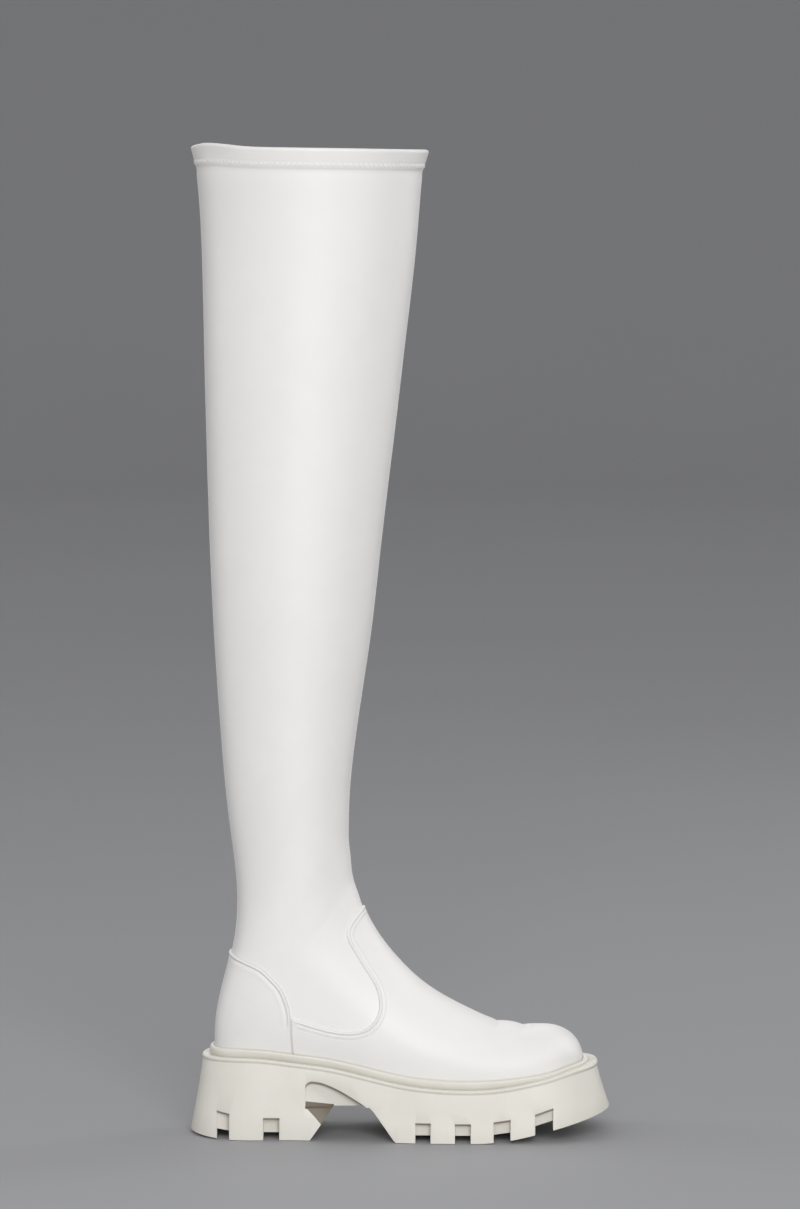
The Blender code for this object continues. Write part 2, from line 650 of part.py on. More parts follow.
def build_upper():
    """The hollow wall from the feather line to the collar, with the hem as a step in its outside."""
    top = section(LAST_ROW)
    hem_foot = LAST_ROW - HEM_HEIGHT / (top["ridge"][1] - section(LAST_ROW - 1)["ridge"][1])
    rows = [*SEAT_ROWS, *SHAFT_ROWS, hem_foot - 0.02, hem_foot + 0.02, LAST_ROW]
    points, faces, normals, row_of = surface(rows)
    hem = np.where(row_of > hem_foot, HEM_STEP, 0.0)
    add_object("upper", *thickened(points, faces, normals, -UPPER_WALL, hem), UPPER_FINISH)


def build_overlays():
    """Vamp and counter: parts of one skin over the foot, cut out by their outlines in side view."""
    points, faces, normals, _ = surface([*SEAT_ROWS, *SHAFT_ROWS[:6]])
    skin = thickened(points, faces, normals, GAP, GAP + OVERLAY_THICKNESS)
    ahead, below, above = SOLE_LENGTH, 0.0, VAMP_EDGE[0][1] + 30
    counter_edge = smooth_outline(COUNTER_EDGE)
    lower_seam = [(s + SEAM_GAP, z) for s, z in counter_edge if z < VAMP_EDGE[-1][1]]
    shin = (VAMP_EDGE[0][0] + 20, above)
    vamp_outline = [*smooth_outline(VAMP_EDGE), *lower_seam, (lower_seam[-1][0], below)]
    vamp_outline += [(ahead, below), (ahead, above), shin]
    counter_outline = [*counter_edge, (counter_edge[-1][0], below), (-10.0, below), (-10.0, above - 40)]
    for name, outline in (("vamp", vamp_outline), ("counter", counter_outline)):
        panel = add_object(name, *skin, UPPER_FINISH)
        boolean(panel, "INTERSECT", [prism(name + "_outline", outline, -PANEL_REACH, PANEL_REACH)])


def zip_place(height):
    share = (height - ZIP_FOOT[1]) / (ZIP_HEAD[1] - ZIP_FOOT[1])
    return ZIP_FOOT[0] + (ZIP_HEAD[0] - ZIP_FOOT[0]) * share


def build_zip_chain():
    """A flat band of closed teeth, following the inner side of the shaft."""
    points, normals = [], []
    for height in np.linspace(ZIP_FOOT[1], ZIP_HEAD[1], CHAIN_LENGTHS + 1):
        for across in (-CHAIN_WIDTH / 2, 0.0, CHAIN_WIDTH / 2):
            station = zip_place(height) + across
            points.append(wall_point(station, height, 1))
            normals.append(wall_normal(station, height, 1))
    faces = []
    for i in range(CHAIN_LENGTHS):
        for j in (0, 1):
            a = 3 * i + j
            faces.append((a, a + 1, a + 4, a + 3))
    solid = thickened(np.array(points), faces, np.array(normals), GAP, GAP + CHAIN_THICKNESS)
    add_object("zip_chain", *solid, ZIP_FINISH)


def slider_frame():
    """Where the slider sits: a point on the wall, and axes across, up and out of the zip."""
    foot = wall_point(zip_place(SLIDER_HEIGHT), SLIDER_HEIGHT, 1)
    above = wall_point(zip_place(SLIDER_HEIGHT + 10), SLIDER_HEIGHT + 10, 1)
    up = (above - foot) / np.linalg.norm(above - foot)
    out = wall_normal(zip_place(SLIDER_HEIGHT), SLIDER_HEIGHT, 1)
    across = np.cross(up, out)
    across /= np.linalg.norm(across)
    return foot, across, up, np.cross(across, up)


def build_slider():
    """A waisted body over the chain, with a bail on it for the pull."""
    foot, across, up, out = slider_frame()
    base = 2 * GAP + CHAIN_THICKNESS
    top = base + SLIDER_THICKNESS
    half, width, waist = SLIDER_LENGTH / 2, SLIDER_WIDTH / 2, SLIDER_WAIST / 2
    outline = [
        (-waist, -half), (waist, -half), (width, half * 0.25), (width * 0.9, half),
        (-width * 0.9, half), (-width, half * 0.25),
    ]

    def placed(flat):
        return [foot + across * a + up * b + out * c for a, b, c in flat]

    count = len(outline)
    points = [(a, b, c) for c in (base, top) for a, b in outline]
    sides = [(i, (i + 1) % count, count + (i + 1) % count, count + i) for i in range(count)]
    body_faces = [tuple(range(count)), tuple(range(count, 2 * count)), *sides]
    body = add_object("zip_slider", placed(points), body_faces, METAL_FINISH)

    sunk, reach, leg = 1.0, BAIL_LENGTH / 2, BAIL_THICKNESS
    rise = BAIL_CLEAR
    inside = [(-reach, top - sunk), (-reach, top + rise * 0.6), (-reach * 0.6, top + rise)]
    inside += [(-b, c) for b, c in reversed(inside)]
    outside = [(-reach - leg, top - sunk), (-reach - leg, top + rise * 0.6 + leg * 0.4)]
    outside += [(-reach * 0.6 - leg * 0.4, top + rise + leg)]
    outside += [(-b, c) for b, c in reversed(outside)]
    rail = [*inside, *reversed(outside)]
    points = [(a, b, c) for a in (-BAIL_WIDTH / 2, BAIL_WIDTH / 2) for b, c in rail]
    count = len(rail)
    sides = [(i, (i + 1) % count, count + (i + 1) % count, count + i) for i in range(count)]
    bail_faces = [tuple(range(count)), tuple(range(count, 2 * count)), *sides]
    boolean(body, "UNION", [add_object("bail_addition", placed(points), bail_faces)])


def build_pull():
    """A flat tab that hangs from the bail: its origin is on the axis of its top bar."""
    foot, _, _, out = slider_frame()
    axis = foot + out * (2 * GAP + CHAIN_THICKNESS + SLIDER_THICKNESS + BAIL_CLEAR / 2)
    half, low = PULL_THICKNESS / 2, PULL_LENGTH - PULL_WIDTH / 2
    outline = [(-PULL_TOP / 2, half), (-PULL_TOP / 2, -EYE_END)]
    for k in range(9):
        turn = math.pi * (1 + k / 8)
        outline.append((PULL_WIDTH / 2 * math.cos(turn), -low + PULL_WIDTH / 2 * math.sin(turn)))
    outline += [(PULL_TOP / 2, -EYE_END), (PULL_TOP / 2, half)]
    eye = [
        (-EYE_HALF_WIDTH, -half), (-EYE_HALF_WIDTH, -EYE_END), (EYE_HALF_WIDTH, -EYE_END),
        (EYE_HALF_WIDTH, -half),
    ]

    def plate(name, flat, thickness, finish=None):
        count = len(flat)
        points = [axis + (a, y, b) for y in (-thickness / 2, thickness / 2) for a, b in flat]
        sides = [(i, (i + 1) % count, count + (i + 1) % count, count + i) for i in range(count)]
        faces = [tuple(range(count)), tuple(range(count, 2 * count)), *sides]
        return add_object(name, points, faces, finish)

    pull = plate("zip_pull", outline, PULL_THICKNESS, METAL_FINISH)
    boolean(pull, "DIFFERENCE", [plate("eye_cutter", eye, 2 * PULL_THICKNESS)])
    pivot = to_row_frame([axis])[0]
    for mesh_object in (pull, bpy.data.objects["eye_cutter"]):
        mesh_object.data.transform(Matrix.Translation(-Vector(pivot)))
        mesh_object.location = pivot


def main():
    for old in list(bpy.data.objects):
        bpy.data.objects.remove(old)
    build_outsole()
    build_welt()
    build_insole()
    build_upper()
    build_overlays()
    build_zip_chain()
    build_slider()
    build_pull()


main()
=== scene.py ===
"""Looks of a right-foot thigh-high boot: white stretch upper on a cream lugged sole."""

import json
import math

import bmesh
import bpy
import numpy as np
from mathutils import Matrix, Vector
from mathutils.bvhtree import BVHTree

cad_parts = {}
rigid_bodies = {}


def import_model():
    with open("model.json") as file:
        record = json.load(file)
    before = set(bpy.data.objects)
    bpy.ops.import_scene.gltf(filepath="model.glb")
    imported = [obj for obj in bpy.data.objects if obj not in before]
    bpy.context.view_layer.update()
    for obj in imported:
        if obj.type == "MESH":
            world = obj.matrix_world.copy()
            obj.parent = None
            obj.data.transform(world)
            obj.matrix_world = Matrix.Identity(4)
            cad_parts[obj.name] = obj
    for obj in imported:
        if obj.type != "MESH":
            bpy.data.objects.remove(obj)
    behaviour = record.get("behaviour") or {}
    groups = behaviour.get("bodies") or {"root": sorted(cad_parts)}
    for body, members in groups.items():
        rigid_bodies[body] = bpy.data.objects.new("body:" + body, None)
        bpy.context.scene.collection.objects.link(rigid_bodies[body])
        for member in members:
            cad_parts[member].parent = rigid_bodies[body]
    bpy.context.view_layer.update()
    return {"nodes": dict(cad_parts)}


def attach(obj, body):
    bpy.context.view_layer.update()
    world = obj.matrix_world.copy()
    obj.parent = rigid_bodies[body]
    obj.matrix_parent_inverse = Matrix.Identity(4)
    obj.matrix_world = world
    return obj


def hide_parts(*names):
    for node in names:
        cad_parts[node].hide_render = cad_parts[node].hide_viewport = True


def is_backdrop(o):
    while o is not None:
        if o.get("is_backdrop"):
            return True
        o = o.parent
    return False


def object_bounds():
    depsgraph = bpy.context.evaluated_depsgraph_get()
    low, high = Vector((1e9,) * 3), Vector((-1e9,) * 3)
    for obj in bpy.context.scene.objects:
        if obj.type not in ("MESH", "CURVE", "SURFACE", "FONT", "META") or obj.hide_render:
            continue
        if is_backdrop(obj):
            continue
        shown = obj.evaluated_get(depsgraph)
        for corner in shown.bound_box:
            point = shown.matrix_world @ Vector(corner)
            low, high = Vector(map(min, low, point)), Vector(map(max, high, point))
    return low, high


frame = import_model()


# Camera
# A product shot from the outer side, taken four metres away with a long lens and from a little above,
# so the boot is seen nearly flat-on.
IMAGE_SIZE = (800, 1209)
CAMERA_PLACE = Vector((0.0, -4.0, 0.67))
CAMERA_AIM = Vector((0.0, 0.0, 0.366))
FOCAL_PIXELS = 5817.0

camera_data = bpy.data.cameras.new("camera")
camera_data.sensor_width = 36.0
camera_data.lens = FOCAL_PIXELS * camera_data.sensor_width / max(IMAGE_SIZE)
camera_data.clip_end = 100.0
camera = bpy.data.objects.new("camera", camera_data)
camera.location = CAMERA_PLACE
camera.rotation_euler = (CAMERA_AIM - CAMERA_PLACE).to_track_quat("-Z", "Y").to_euler()
bpy.context.scene.collection.objects.link(camera)
bpy.context.scene.camera = camera


# Floor
# A painted studio sweep: one smooth pale sheet, level under the boot and curved up far behind it on
# every side, so that no edge of it shows.
SWEEP_RADIUS, SWEEP_CURVE, SWEEP_HEIGHT = 8.0, 3.0, 3.0
SWEEP_RINGS = (0.6, 1.5, 3.0, 5.0)
SWEEP_PARTS, SWEEP_STEPS = 96, 12
SWEEP_DROP = 0.0004
FLOOR_COLOUR = (0.36, 0.362, 0.376)


class Shade:
    """A value in a finish: sums with it add Math nodes."""

    def __init__(self, finish, socket):
        self.finish = finish
        self.socket = socket

    def math(self, operation, first, second):
        return self.finish.node("ShaderNodeMath", {"operation": operation}, {0: first, 1: second})

    def __add__(self, other):
        return self.math("ADD", self, other)

    def __radd__(self, other):
        return self.math("ADD", other, self)

    def __sub__(self, other):
        return self.math("SUBTRACT", self, other)

    def __rsub__(self, other):
        return self.math("SUBTRACT", other, self)

    def __mul__(self, other):
        return self.math("MULTIPLY", self, other)

    def __rmul__(self, other):
        return self.math("MULTIPLY", other, self)

    def __abs__(self):
        return self.finish.node("ShaderNodeMath", {"operation": "ABSOLUTE"}, {0: self})


class Finish:
    """A material, made node by node."""

    def __init__(self, name):
        self.material = bpy.data.materials.new(name)
        self.material.use_nodes = True
        self.tree = self.material.node_tree
        self.tree.nodes.clear()

    def node(self, kind, settings, sockets, output=0):
        """A node of a kind: its settings, then the values or links of its sockets."""
        made = self.tree.nodes.new(kind)
        for key, value in settings.items():
            setattr(made, key, value)
        for key, value in sockets.items():
            if isinstance(value, Shade):
                self.tree.links.new(value.socket, made.inputs[key])
            else:
                made.inputs[key].default_value = value
        return Shade(self, made.outputs[output] if made.outputs else None)

    def place(self):
        return self.node("ShaderNodeTexCoord", {}, {}, "Object")

    def stretched(self, scale):
        """The place, counted more finely along some axes."""
        return self.node("ShaderNodeMapping", {}, {"Vector": self.place(), "Scale": scale})

    def noise(self, scale, detail, roughness=0.55, place=None):
        sockets = {"Vector": place or self.place(), "Scale": scale, "Detail": detail}
        return self.node("ShaderNodeTexNoise", {}, {**sockets, "Roughness": roughness}, "Fac")

    def cells(self, scale, place=None):
        sockets = {"Vector": place or self.place(), "Scale": scale}
        return self.node("ShaderNodeTexVoronoi", {"feature": "SMOOTH_F1"}, sockets, "Distance")

    def span(self, value, low, high, first=0.0, last=1.0):
        """A value eased from one level to another while it goes from low to high."""
        settings = {"interpolation_type": "SMOOTHSTEP", "clamp": True}
        return self.node("ShaderNodeMapRange", settings, {0: value, 1: low, 2: high, 3: first, 4: last})

    def axes(self, vector):
        """The three parts of a place or a direction."""
        made = self.node("ShaderNodeSeparateXYZ", {}, {0: vector})
        return [Shade(self, socket) for socket in made.socket.node.outputs]

    def curve(self, value, points):
        """A value read off a smooth curve through points between 0 and 1."""
        made = self.node("ShaderNodeFloatCurve", {}, {"Value": value})
        drawn = made.socket.node.mapping
        line = drawn.curves[0].points
        line[0].location, line[-1].location = points[0], points[-1]
        for point in points[1:-1]:
            line.new(*point)
        drawn.update()
        return made

    def attribute(self, name):
        return self.node("ShaderNodeAttribute", {"attribute_name": name}, {}, "Fac")

    def mix(self, share, first, second):
        """A colour between two colours."""
        colours = {
            key: (*colour, 1.0) if isinstance(colour, tuple) else colour
            for key, colour in ((6, first), (7, second))
        }
        return self.node("ShaderNodeMix", {"data_type": "RGBA"}, {0: share, **colours}, 2)

    def bump(self, height, depth, strength, normal=None):
        sockets = {"Strength": strength, "Distance": depth, "Height": height}
        if normal:
            sockets["Normal"] = normal
        return self.node("ShaderNodeBump", {}, sockets)

    def done(self, **sockets):
        """Ends the finish in a shader with these values or links on its sockets."""
        named = {key.replace("_", " ").title().replace("Ior", "IOR"): v for key, v in sockets.items()}
        shader = self.node("ShaderNodeBsdfPrincipled", {}, named)
        self.node("ShaderNodeOutputMaterial", {}, {"Surface": shader})
        return self.material


def toned(colour, share):
    """A colour made darker, or lighter where the share is over 1."""
    return tuple(share * part for part in colour)


def add_piece(name, points, faces, material=None):
    """A mesh object whose points are in metres, in the frame's own axes. One with no material, which is
    only cut with, keeps its flat faces."""
    mesh = bpy.data.meshes.new(name)
    mesh.from_pydata(np.asarray(points, float).tolist(), [], [tuple(map(int, f)) for f in faces])
    mesh.validate()
    if material:
        mesh.materials.append(material)
        mesh.shade_smooth()
    made = bpy.data.objects.new(name, mesh)
    bpy.context.scene.collection.objects.link(made)
    return made


floor_paint = Finish("floor_paint")
floor_cloud = floor_paint.noise(1.3, 2.0)
floor_tone = floor_paint.mix(floor_cloud, FLOOR_COLOUR, toned(FLOOR_COLOUR, 1.04))
floor_paint.done(base_color=floor_tone, roughness=0.5 + 0.2 * floor_cloud, specular_ior_level=0.2)

sweep_profile = [(radius, 0.0) for radius in SWEEP_RINGS]
for k in range(SWEEP_STEPS + 1):
    turn = math.pi / 2 * k / SWEEP_STEPS
    rise = SWEEP_CURVE * (1 - math.cos(turn))
    sweep_profile.append((SWEEP_RADIUS + SWEEP_CURVE * math.sin(turn), rise))
sweep_profile.append((SWEEP_RADIUS + SWEEP_CURVE, SWEEP_CURVE + SWEEP_HEIGHT))
sweep_points = [(0.0, 0.0, -SWEEP_DROP)]
for radius, rise in sweep_profile:
    for k in range(SWEEP_PARTS):
        turn = 2 * math.pi * k / SWEEP_PARTS
        sweep_points.append((radius * math.cos(turn), radius * math.sin(turn), rise - SWEEP_DROP))
sweep_faces = [(0, 1 + k, 1 + (k + 1) % SWEEP_PARTS) for k in range(SWEEP_PARTS)]
for ring in range(len(sweep_profile) - 1):
    for k in range(SWEEP_PARTS):
        a = 1 + ring * SWEEP_PARTS + k
        b = 1 + ring * SWEEP_PARTS + (k + 1) % SWEEP_PARTS
        sweep_faces.append((a, a + SWEEP_PARTS, b + SWEEP_PARTS, b))
floor = add_piece("floor", sweep_points, sweep_faces, floor_paint.material)
floor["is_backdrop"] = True


# Light
# A studio set-up: one broad soft box beside the camera and a weaker one behind the boot, shaded off the
# floor, two strips for the boot's edges, and an even white room.
ROOM_LIGHT = 0.62
LIGHTS = (
    ("soft_box", (0.35, -3.7, 1.45), (0.0, 0.0, 0.36), (2.0, 2.0), 110.0),
    ("back_box", (-0.5, 3.8, 1.9), (0.0, 0.0, 0.36), (2.4, 2.4), 30.0),
    ("left_strip", (-2.1, 0.5, 0.6), (0.0, 0.0, 0.15), (0.6, 1.2), 7.5),
    ("right_strip", (2.0, 1.5, 1.2), (0.0, 0.0, 0.4), (0.7, 1.8), 10.0),
)
for light_name, light_place, light_aim, light_size, light_power in LIGHTS:
    lamp = bpy.data.lights.new(light_name, "AREA")
    lamp.shape = "RECTANGLE"
    lamp.size, lamp.size_y = light_size
    lamp.energy = light_power
    lamp_object = bpy.data.objects.new(light_name, lamp)
    lamp_object.location = light_place
    toward = Vector(light_aim) - Vector(light_place)
    lamp_object.rotation_euler = toward.to_track_quat("-Z", "Y").to_euler()
    lamp_object.visible_camera = False
    bpy.context.scene.collection.objects.link(lamp_object)
    if light_name == "back_box":
        back_lit = bpy.data.collections.new("lit_from_behind")
        lamp_object.light_linking.receiver_collection = back_lit
room = bpy.data.worlds.new("room")
room.use_nodes = True
room.node_tree.nodes["Background"].inputs["Color"].default_value = (1.0, 1.0, 1.0, 1.0)
room.node_tree.nodes["Background"].inputs["Strength"].default_value = ROOM_LIGHT
bpy.context.scene.world = room
bpy.context.scene.view_settings.view_transform = "Standard"


# Upper
# One tube of white stretch synthetic leather with a thin knit lining, closed by a seam down the front
# and another down the back, lasted over the foot and turned in at the top to a sewn hem. The tables
# are the last's sections, in millimetres, counted forward from the back of the sole.
HALF_SOLE = 145.0
TOE_STATION, HEEL_STATION = 270.5, 17.9
SECTION_COLUMNS = (
    "ridge_s", "ridge_z", "far_s", "far_z",
    "lateral", "medial", "widest", "ridge_power", "far_power", "ridge_y",
)
SECTIONS = (
    (270.5, 72.0, 270.5, None, 35.2, 37.6, 0.74, 2.40, 2.4, 1.0),
    (250.0, 72.0, 250.0, None, 39.0, 41.4, 0.74, 2.35, 2.4, 1.5),
    (230.0, 72.2, 230.0, None, 41.8, 43.8, 0.74, 2.30, 2.4, 2.0),
    (211.0, 75.3, 211.0, None, 43.8, 44.6, 0.74, 2.20, 2.4, 3.0),
    (194.5, 82.3, 190.0, None, 44.5, 43.8, 0.72, 2.10, 2.4, 4.0),
    (177.0, 91.4, 164.0, None, 43.6, 41.0, 0.67, 2.05, 2.4, 4.5),
    (159.0, 103.5, 134.0, None, 41.8, 38.6, 0.60, 2.00, 2.4, 4.5),
    (143.5, 118.6, 103.0, None, 39.6, 37.4, 0.53, 2.00, 2.4, 4.0),
    (131.0, 134.2, 73.0, None, 37.8, 36.9, 0.47, 2.00, 2.5, 3.0),
    (121.8, 150.0, 46.0, None, 36.8, 36.8, 0.43, 2.00, 2.6, 2.0),
    (116.2, 164.0, 28.0, None, 36.5, 36.7, 0.41, 2.00, 2.6, 1.0),
    (113.2, 175.0, 17.9, None, 36.4, 36.6, 0.40, 2.00, 2.6, 0.5),
    (111.2, 186.0, 18.1, 76.0, 36.4, 36.5, 0.40, 2.00, 2.6, 0.0),
    (110.0, 197.5, 21.6, 97.0, 36.6, 36.6, 0.41, 2.00, 2.5, 0.0),
    (109.4, 209.5, 27.3, 119.5, 37.0, 37.0, 0.42, 2.00, 2.4, 0.0),
    (109.4, 222.0, 31.6, 141.5, 37.5, 37.5, 0.44, 2.00, 2.2, 0.0),
    (110.0, 236.0, 32.7, 166.0, 38.3, 38.3, 0.46, 2.00, 2.1, 0.0),
    (111.5, 252.0, 30.2, 195.0, 39.8, 39.8, 0.48, 2.00, 2.0, 0.0),
    (114.3, 274.0, 25.6, 234.0, 42.4, 42.4, 0.49, 2.00, 2.0, 0.0),
    (118.8, 306.0, 20.6, 292.0, 46.6, 46.6, 0.50, 2.00, 2.0, 0.0),
    (123.7, 340.0, 17.6, 338.0, 50.1, 50.1, 0.50, 2.00, 2.0, 0.0),
    (128.6, 380.0, 15.7, 380.0, 53.3, 53.3, 0.50, 2.00, 2.0, 0.0),
    (137.6, 459.0, 12.8, 459.0, 58.4, 58.4, 0.50, 2.00, 2.0, 0.0),
    (147.6, 541.0, 11.1, 541.0, 62.8, 62.8, 0.50, 2.00, 2.0, 0.0),
    (153.6, 591.0, 9.9, 591.0, 65.5, 65.5, 0.50, 2.00, 2.0, 0.0),
    (157.4, 632.0, 8.3, 633.0, 67.6, 67.6, 0.50, 2.00, 2.0, 0.0),
    (159.9, 659.0, 6.1, 661.0, 69.6, 69.6, 0.50, 2.00, 2.0, 0.0),
    (163.6, 678.5, 3.4, 681.0, 72.2, 72.2, 0.50, 2.00, 2.0, 0.0),
)
TOE_SECTION, HEEL_SECTION, SHAFT_SECTION, COLLAR_SECTION, LAST_SECTION = 3, 11, 17, 26, 27
SEAT = (
    (17.9, 53.8), (45.0, 54.6), (72.0, 51.7), (96.0, 48.7), (120.0, 43.8), (148.0, 37.8),
    (172.0, 35.2), (195.0, 34.6), (215.0, 36.0), (235.0, 39.6), (247.0, 42.8), (258.0, 46.6),
    (270.5, 49.2),
)
FEATHER = (
    (17.9, 29.8, 29.8), (50.0, 30.5, 30.0), (75.0, 31.2, 28.8), (102.0, 33.4, 27.6),
    (130.0, 37.6, 30.4), (158.0, 41.8, 36.6), (185.0, 43.5, 42.3), (206.0, 43.0, 43.8),
    (228.0, 40.9, 42.9), (250.0, 38.0, 40.4), (270.5, 34.2, 36.6),
)
TOE_PLAN_START, TOE_PLAN_POWER = 231.0, 2.8
TOE_TOP_START, TOE_TOP_POWER = 244.0, 2.3
HEEL_PLAN_START, HEEL_PLAN_POWER = 48.0, 2.3
UPPER_WALL, HEM_STEP = 1.8, 0.7
HEM_HEIGHT, HEM_ROUND = 13.6, 1.4
HEM_ROWS, HEM_START, HEM_FLARE = 24, 17.5, 0.8
# Creases: where each crosses the ridge, how it bends back or slants, its width and its height.
TOE_CREASES = ((233.0, 0.010, 3.4, -1.15), (213.5, 0.007, 2.8, -0.85), (222.5, 0.008, 5.5, 0.7))
ANKLE_CREASES = ((178.0, 0.22, 9.0, -0.7), (203.0, -0.15, 8.0, -0.45))
FRONT_SEAM_ROWS, BACK_SEAM_ROWS = (9.4, 9.9), (14.0, 14.6)
# Ridges and dips: the distance of each from the seam or the collar's edge, its width and its height.
SEAM_RELIEF = ((2.0, 1.3, 0.42), (0.0, 0.55, -0.75), (3.6, 0.6, -0.2))
HEM_RELIEF = ((9.9, 0.7, -0.2), (13.0, 0.7, -0.2), (16.0, 3.0, -0.45))
RIM_TURNS = np.radians((25, 50, 75, 105, 130, 155))
COLLAR_PEAK, COLLAR_LIFT = 14.0, 2.3
LEATHER_WHITE = (0.825, 0.813, 0.796)
LEATHER_SHADE = (0.745, 0.728, 0.705)
# The next colour darkens the seams and is the painted shade in stitch grooves, along the welt and towards the
# sole.
LEATHER_SEAM_AND_SHADE = (0.5, 0.46, 0.41)
LINING_COLOUR = (0.66, 0.63, 0.585)


def smooth_through(knots, values):
    """A smooth curve through the rows of a table, for many places at once."""
    knots = np.asarray(knots, float)
    values = np.asarray(values, float).reshape(len(knots), -1)
    step = np.diff(knots)
    last = len(knots) - 1
    system = np.eye(last + 1)
    right = np.zeros_like(values)
    slope = np.diff(values, axis=0) / step[:, None]
    for i in range(1, last):
        system[i, i - 1:i + 2] = step[i - 1], 2 * (step[i - 1] + step[i]), step[i]
        right[i] = 6 * (slope[i] - slope[i - 1])
    bend = np.linalg.solve(system, right)

    def at(places):
        places = np.atleast_1d(np.asarray(places, float))
        i = np.clip(np.searchsorted(knots, places) - 1, 0, last - 1)
        width = step[i][:, None]
        a = (knots[i + 1] - places)[:, None] / width
        b = 1 - a
        sag = ((a ** 3 - a) * bend[i] + (b ** 3 - b) * bend[i + 1]) * width ** 2 / 6
        return a * values[i] + b * values[i + 1] + sag

    return at


def rounding(share, power):
    """A superellipse's height: 1 at a share of 0 or less, falling to 0 at a share of 1."""
    share = np.clip(share, 0.0, 1.0)
    return (1 - share ** power) ** (1 / power)


def eased(value, low, high):
    """0 below low, 1 above high, and smooth in between."""
    share = np.clip((np.asarray(value, float) - low) / (high - low), 0.0, 1.0)
    return share * share * (3 - 2 * share)


def bell(value, middle, width):
    """1 at the middle, falling smoothly away on both sides."""
    return np.exp(-((value - middle) / width) ** 2)


def relief_across(distance, rows):
    """Ridges and dips beside a line, each given as its distance from the line, width and height."""
    return sum(height * bell(distance, middle, width) for middle, width, height in rows)


section_table = [dict(zip(SECTION_COLUMNS, row)) for row in SECTIONS]
seat_curve = smooth_through([s for s, _ in SEAT], [z for _, z in SEAT])
feather_curve = smooth_through([row[0] for row in FEATHER], [row[1:] for row in FEATHER])
SHAPE_COLUMNS = [name for name in SECTION_COLUMNS if not name.startswith("far_")] + ["far_power"]
section_numbers = range(LAST_SECTION + 1)
shape_rows = [[row[name] for name in SHAPE_COLUMNS] for row in section_table]
shape_curve = smooth_through(section_numbers, shape_rows)
seat_sections, back_sections = section_table[:HEEL_SECTION + 1], section_table[HEEL_SECTION:]
seat_path = smooth_through(section_numbers[:HEEL_SECTION + 1], [row["far_s"] for row in seat_sections])
back_heights = [float(seat_curve(HEEL_STATION)[0, 0])] + [row["far_z"] for row in back_sections[1:]]
back_stations = [row["far_s"] for row in back_sections]
back_path = smooth_through(section_numbers[HEEL_SECTION:], np.column_stack([back_stations, back_heights]))


def section_line(row, columns):
    """Points round one section of the last, from its far end on the lateral side over the ridge to the
    far end on the medial side, and how far each is from the ridge along the section. columns gives the
    distances from the ridge on a side of a given length."""
    shape = dict(zip(SHAPE_COLUMNS, shape_curve(row)[0]))
    ridge = np.array([shape["ridge_s"], shape["ridge_z"]])
    on_seat = row < HEEL_SECTION
    if on_seat:
        far_s = float(seat_path(row)[0, 0])
        far = np.array([far_s, float(seat_curve(far_s)[0, 0])])
        ends = feather_curve(far_s)[0]
    else:
        far = back_path(row)[0]
        ends = np.zeros(2)
    plan, heel = 1.0, 1.0
    if row <= TOE_SECTION:
        ridge[0] = far[0]
        plan = rounding((far[0] - TOE_PLAN_START) / (TOE_STATION - TOE_PLAN_START), TOE_PLAN_POWER)
        lift = rounding((far[0] - TOE_TOP_START) / (TOE_STATION - TOE_TOP_START), TOE_TOP_POWER)
        ridge[1] = far[1] + (ridge[1] - far[1]) * lift
    elif on_seat:
        toe_share = (far[0] - TOE_PLAN_START) / (TOE_STATION - TOE_PLAN_START)
        heel_share = (HEEL_PLAN_START - far[0]) / (HEEL_PLAN_START - HEEL_STATION)
        heel = rounding(toe_share, TOE_PLAN_POWER) * rounding(heel_share, HEEL_PLAN_POWER)
    shares = (1 - np.cos(np.linspace(0, math.pi, 180))) / 2
    widest, near, away = shape["widest"], shape["ridge_power"], shape["far_power"]
    lines, offsets = [], []
    for side, sign, name in ((0, -1.0, "lateral"), (1, 1.0, "medial")):
        end = min(ends[side] / shape[name] * heel, 1.0)
        rise = rounding(1 - shares / widest, near)
        fade = np.clip((shares - widest) / (1 - widest), 0.0, 1.0) ** away
        fall = (1 - fade * (1 - end ** away)) ** (1 / away)
        half = shape[name] * plan * np.where(shares < widest, rise, fall)
        along = ridge + np.outer(shares, far - ridge)
        across = shape["ridge_y"] * plan * (1 - shares) ** 2 + sign * half
        line = np.column_stack([along[:, 0], across, along[:, 1]])
        run = np.concatenate([[0], np.cumsum(np.linalg.norm(np.diff(line, axis=0), axis=1))])
        wanted = columns(run[-1])
        lines.append(np.column_stack([np.interp(wanted, run, line[:, i]) for i in range(3)]))
        offsets.append(wanted)
    points = np.vstack([lines[0][::-1], lines[1][1:]])
    return points, np.concatenate([-offsets[0][::-1], offsets[1][1:]])


def close_rows(first, last, spacing):
    """Rows from one section to another, about evenly spaced along whichever edge runs furthest."""
    trial = first + (last - first) * np.linspace(0, 1, 700) ** (3 if first == 0 else 1)
    edges = np.array([section_line(row, lambda size: np.array([0.0, size]))[0] for row in trial])
    steps = np.linalg.norm(np.diff(edges, axis=0), axis=2).max(axis=1)
    run = np.concatenate([[0], np.cumsum(steps)])
    count = max(2, math.ceil(run[-1] / spacing))
    rows = np.interp(np.linspace(0, run[-1], count + 1), run, trial)
    rows[0], rows[-1] = first, last
    return list(rows)


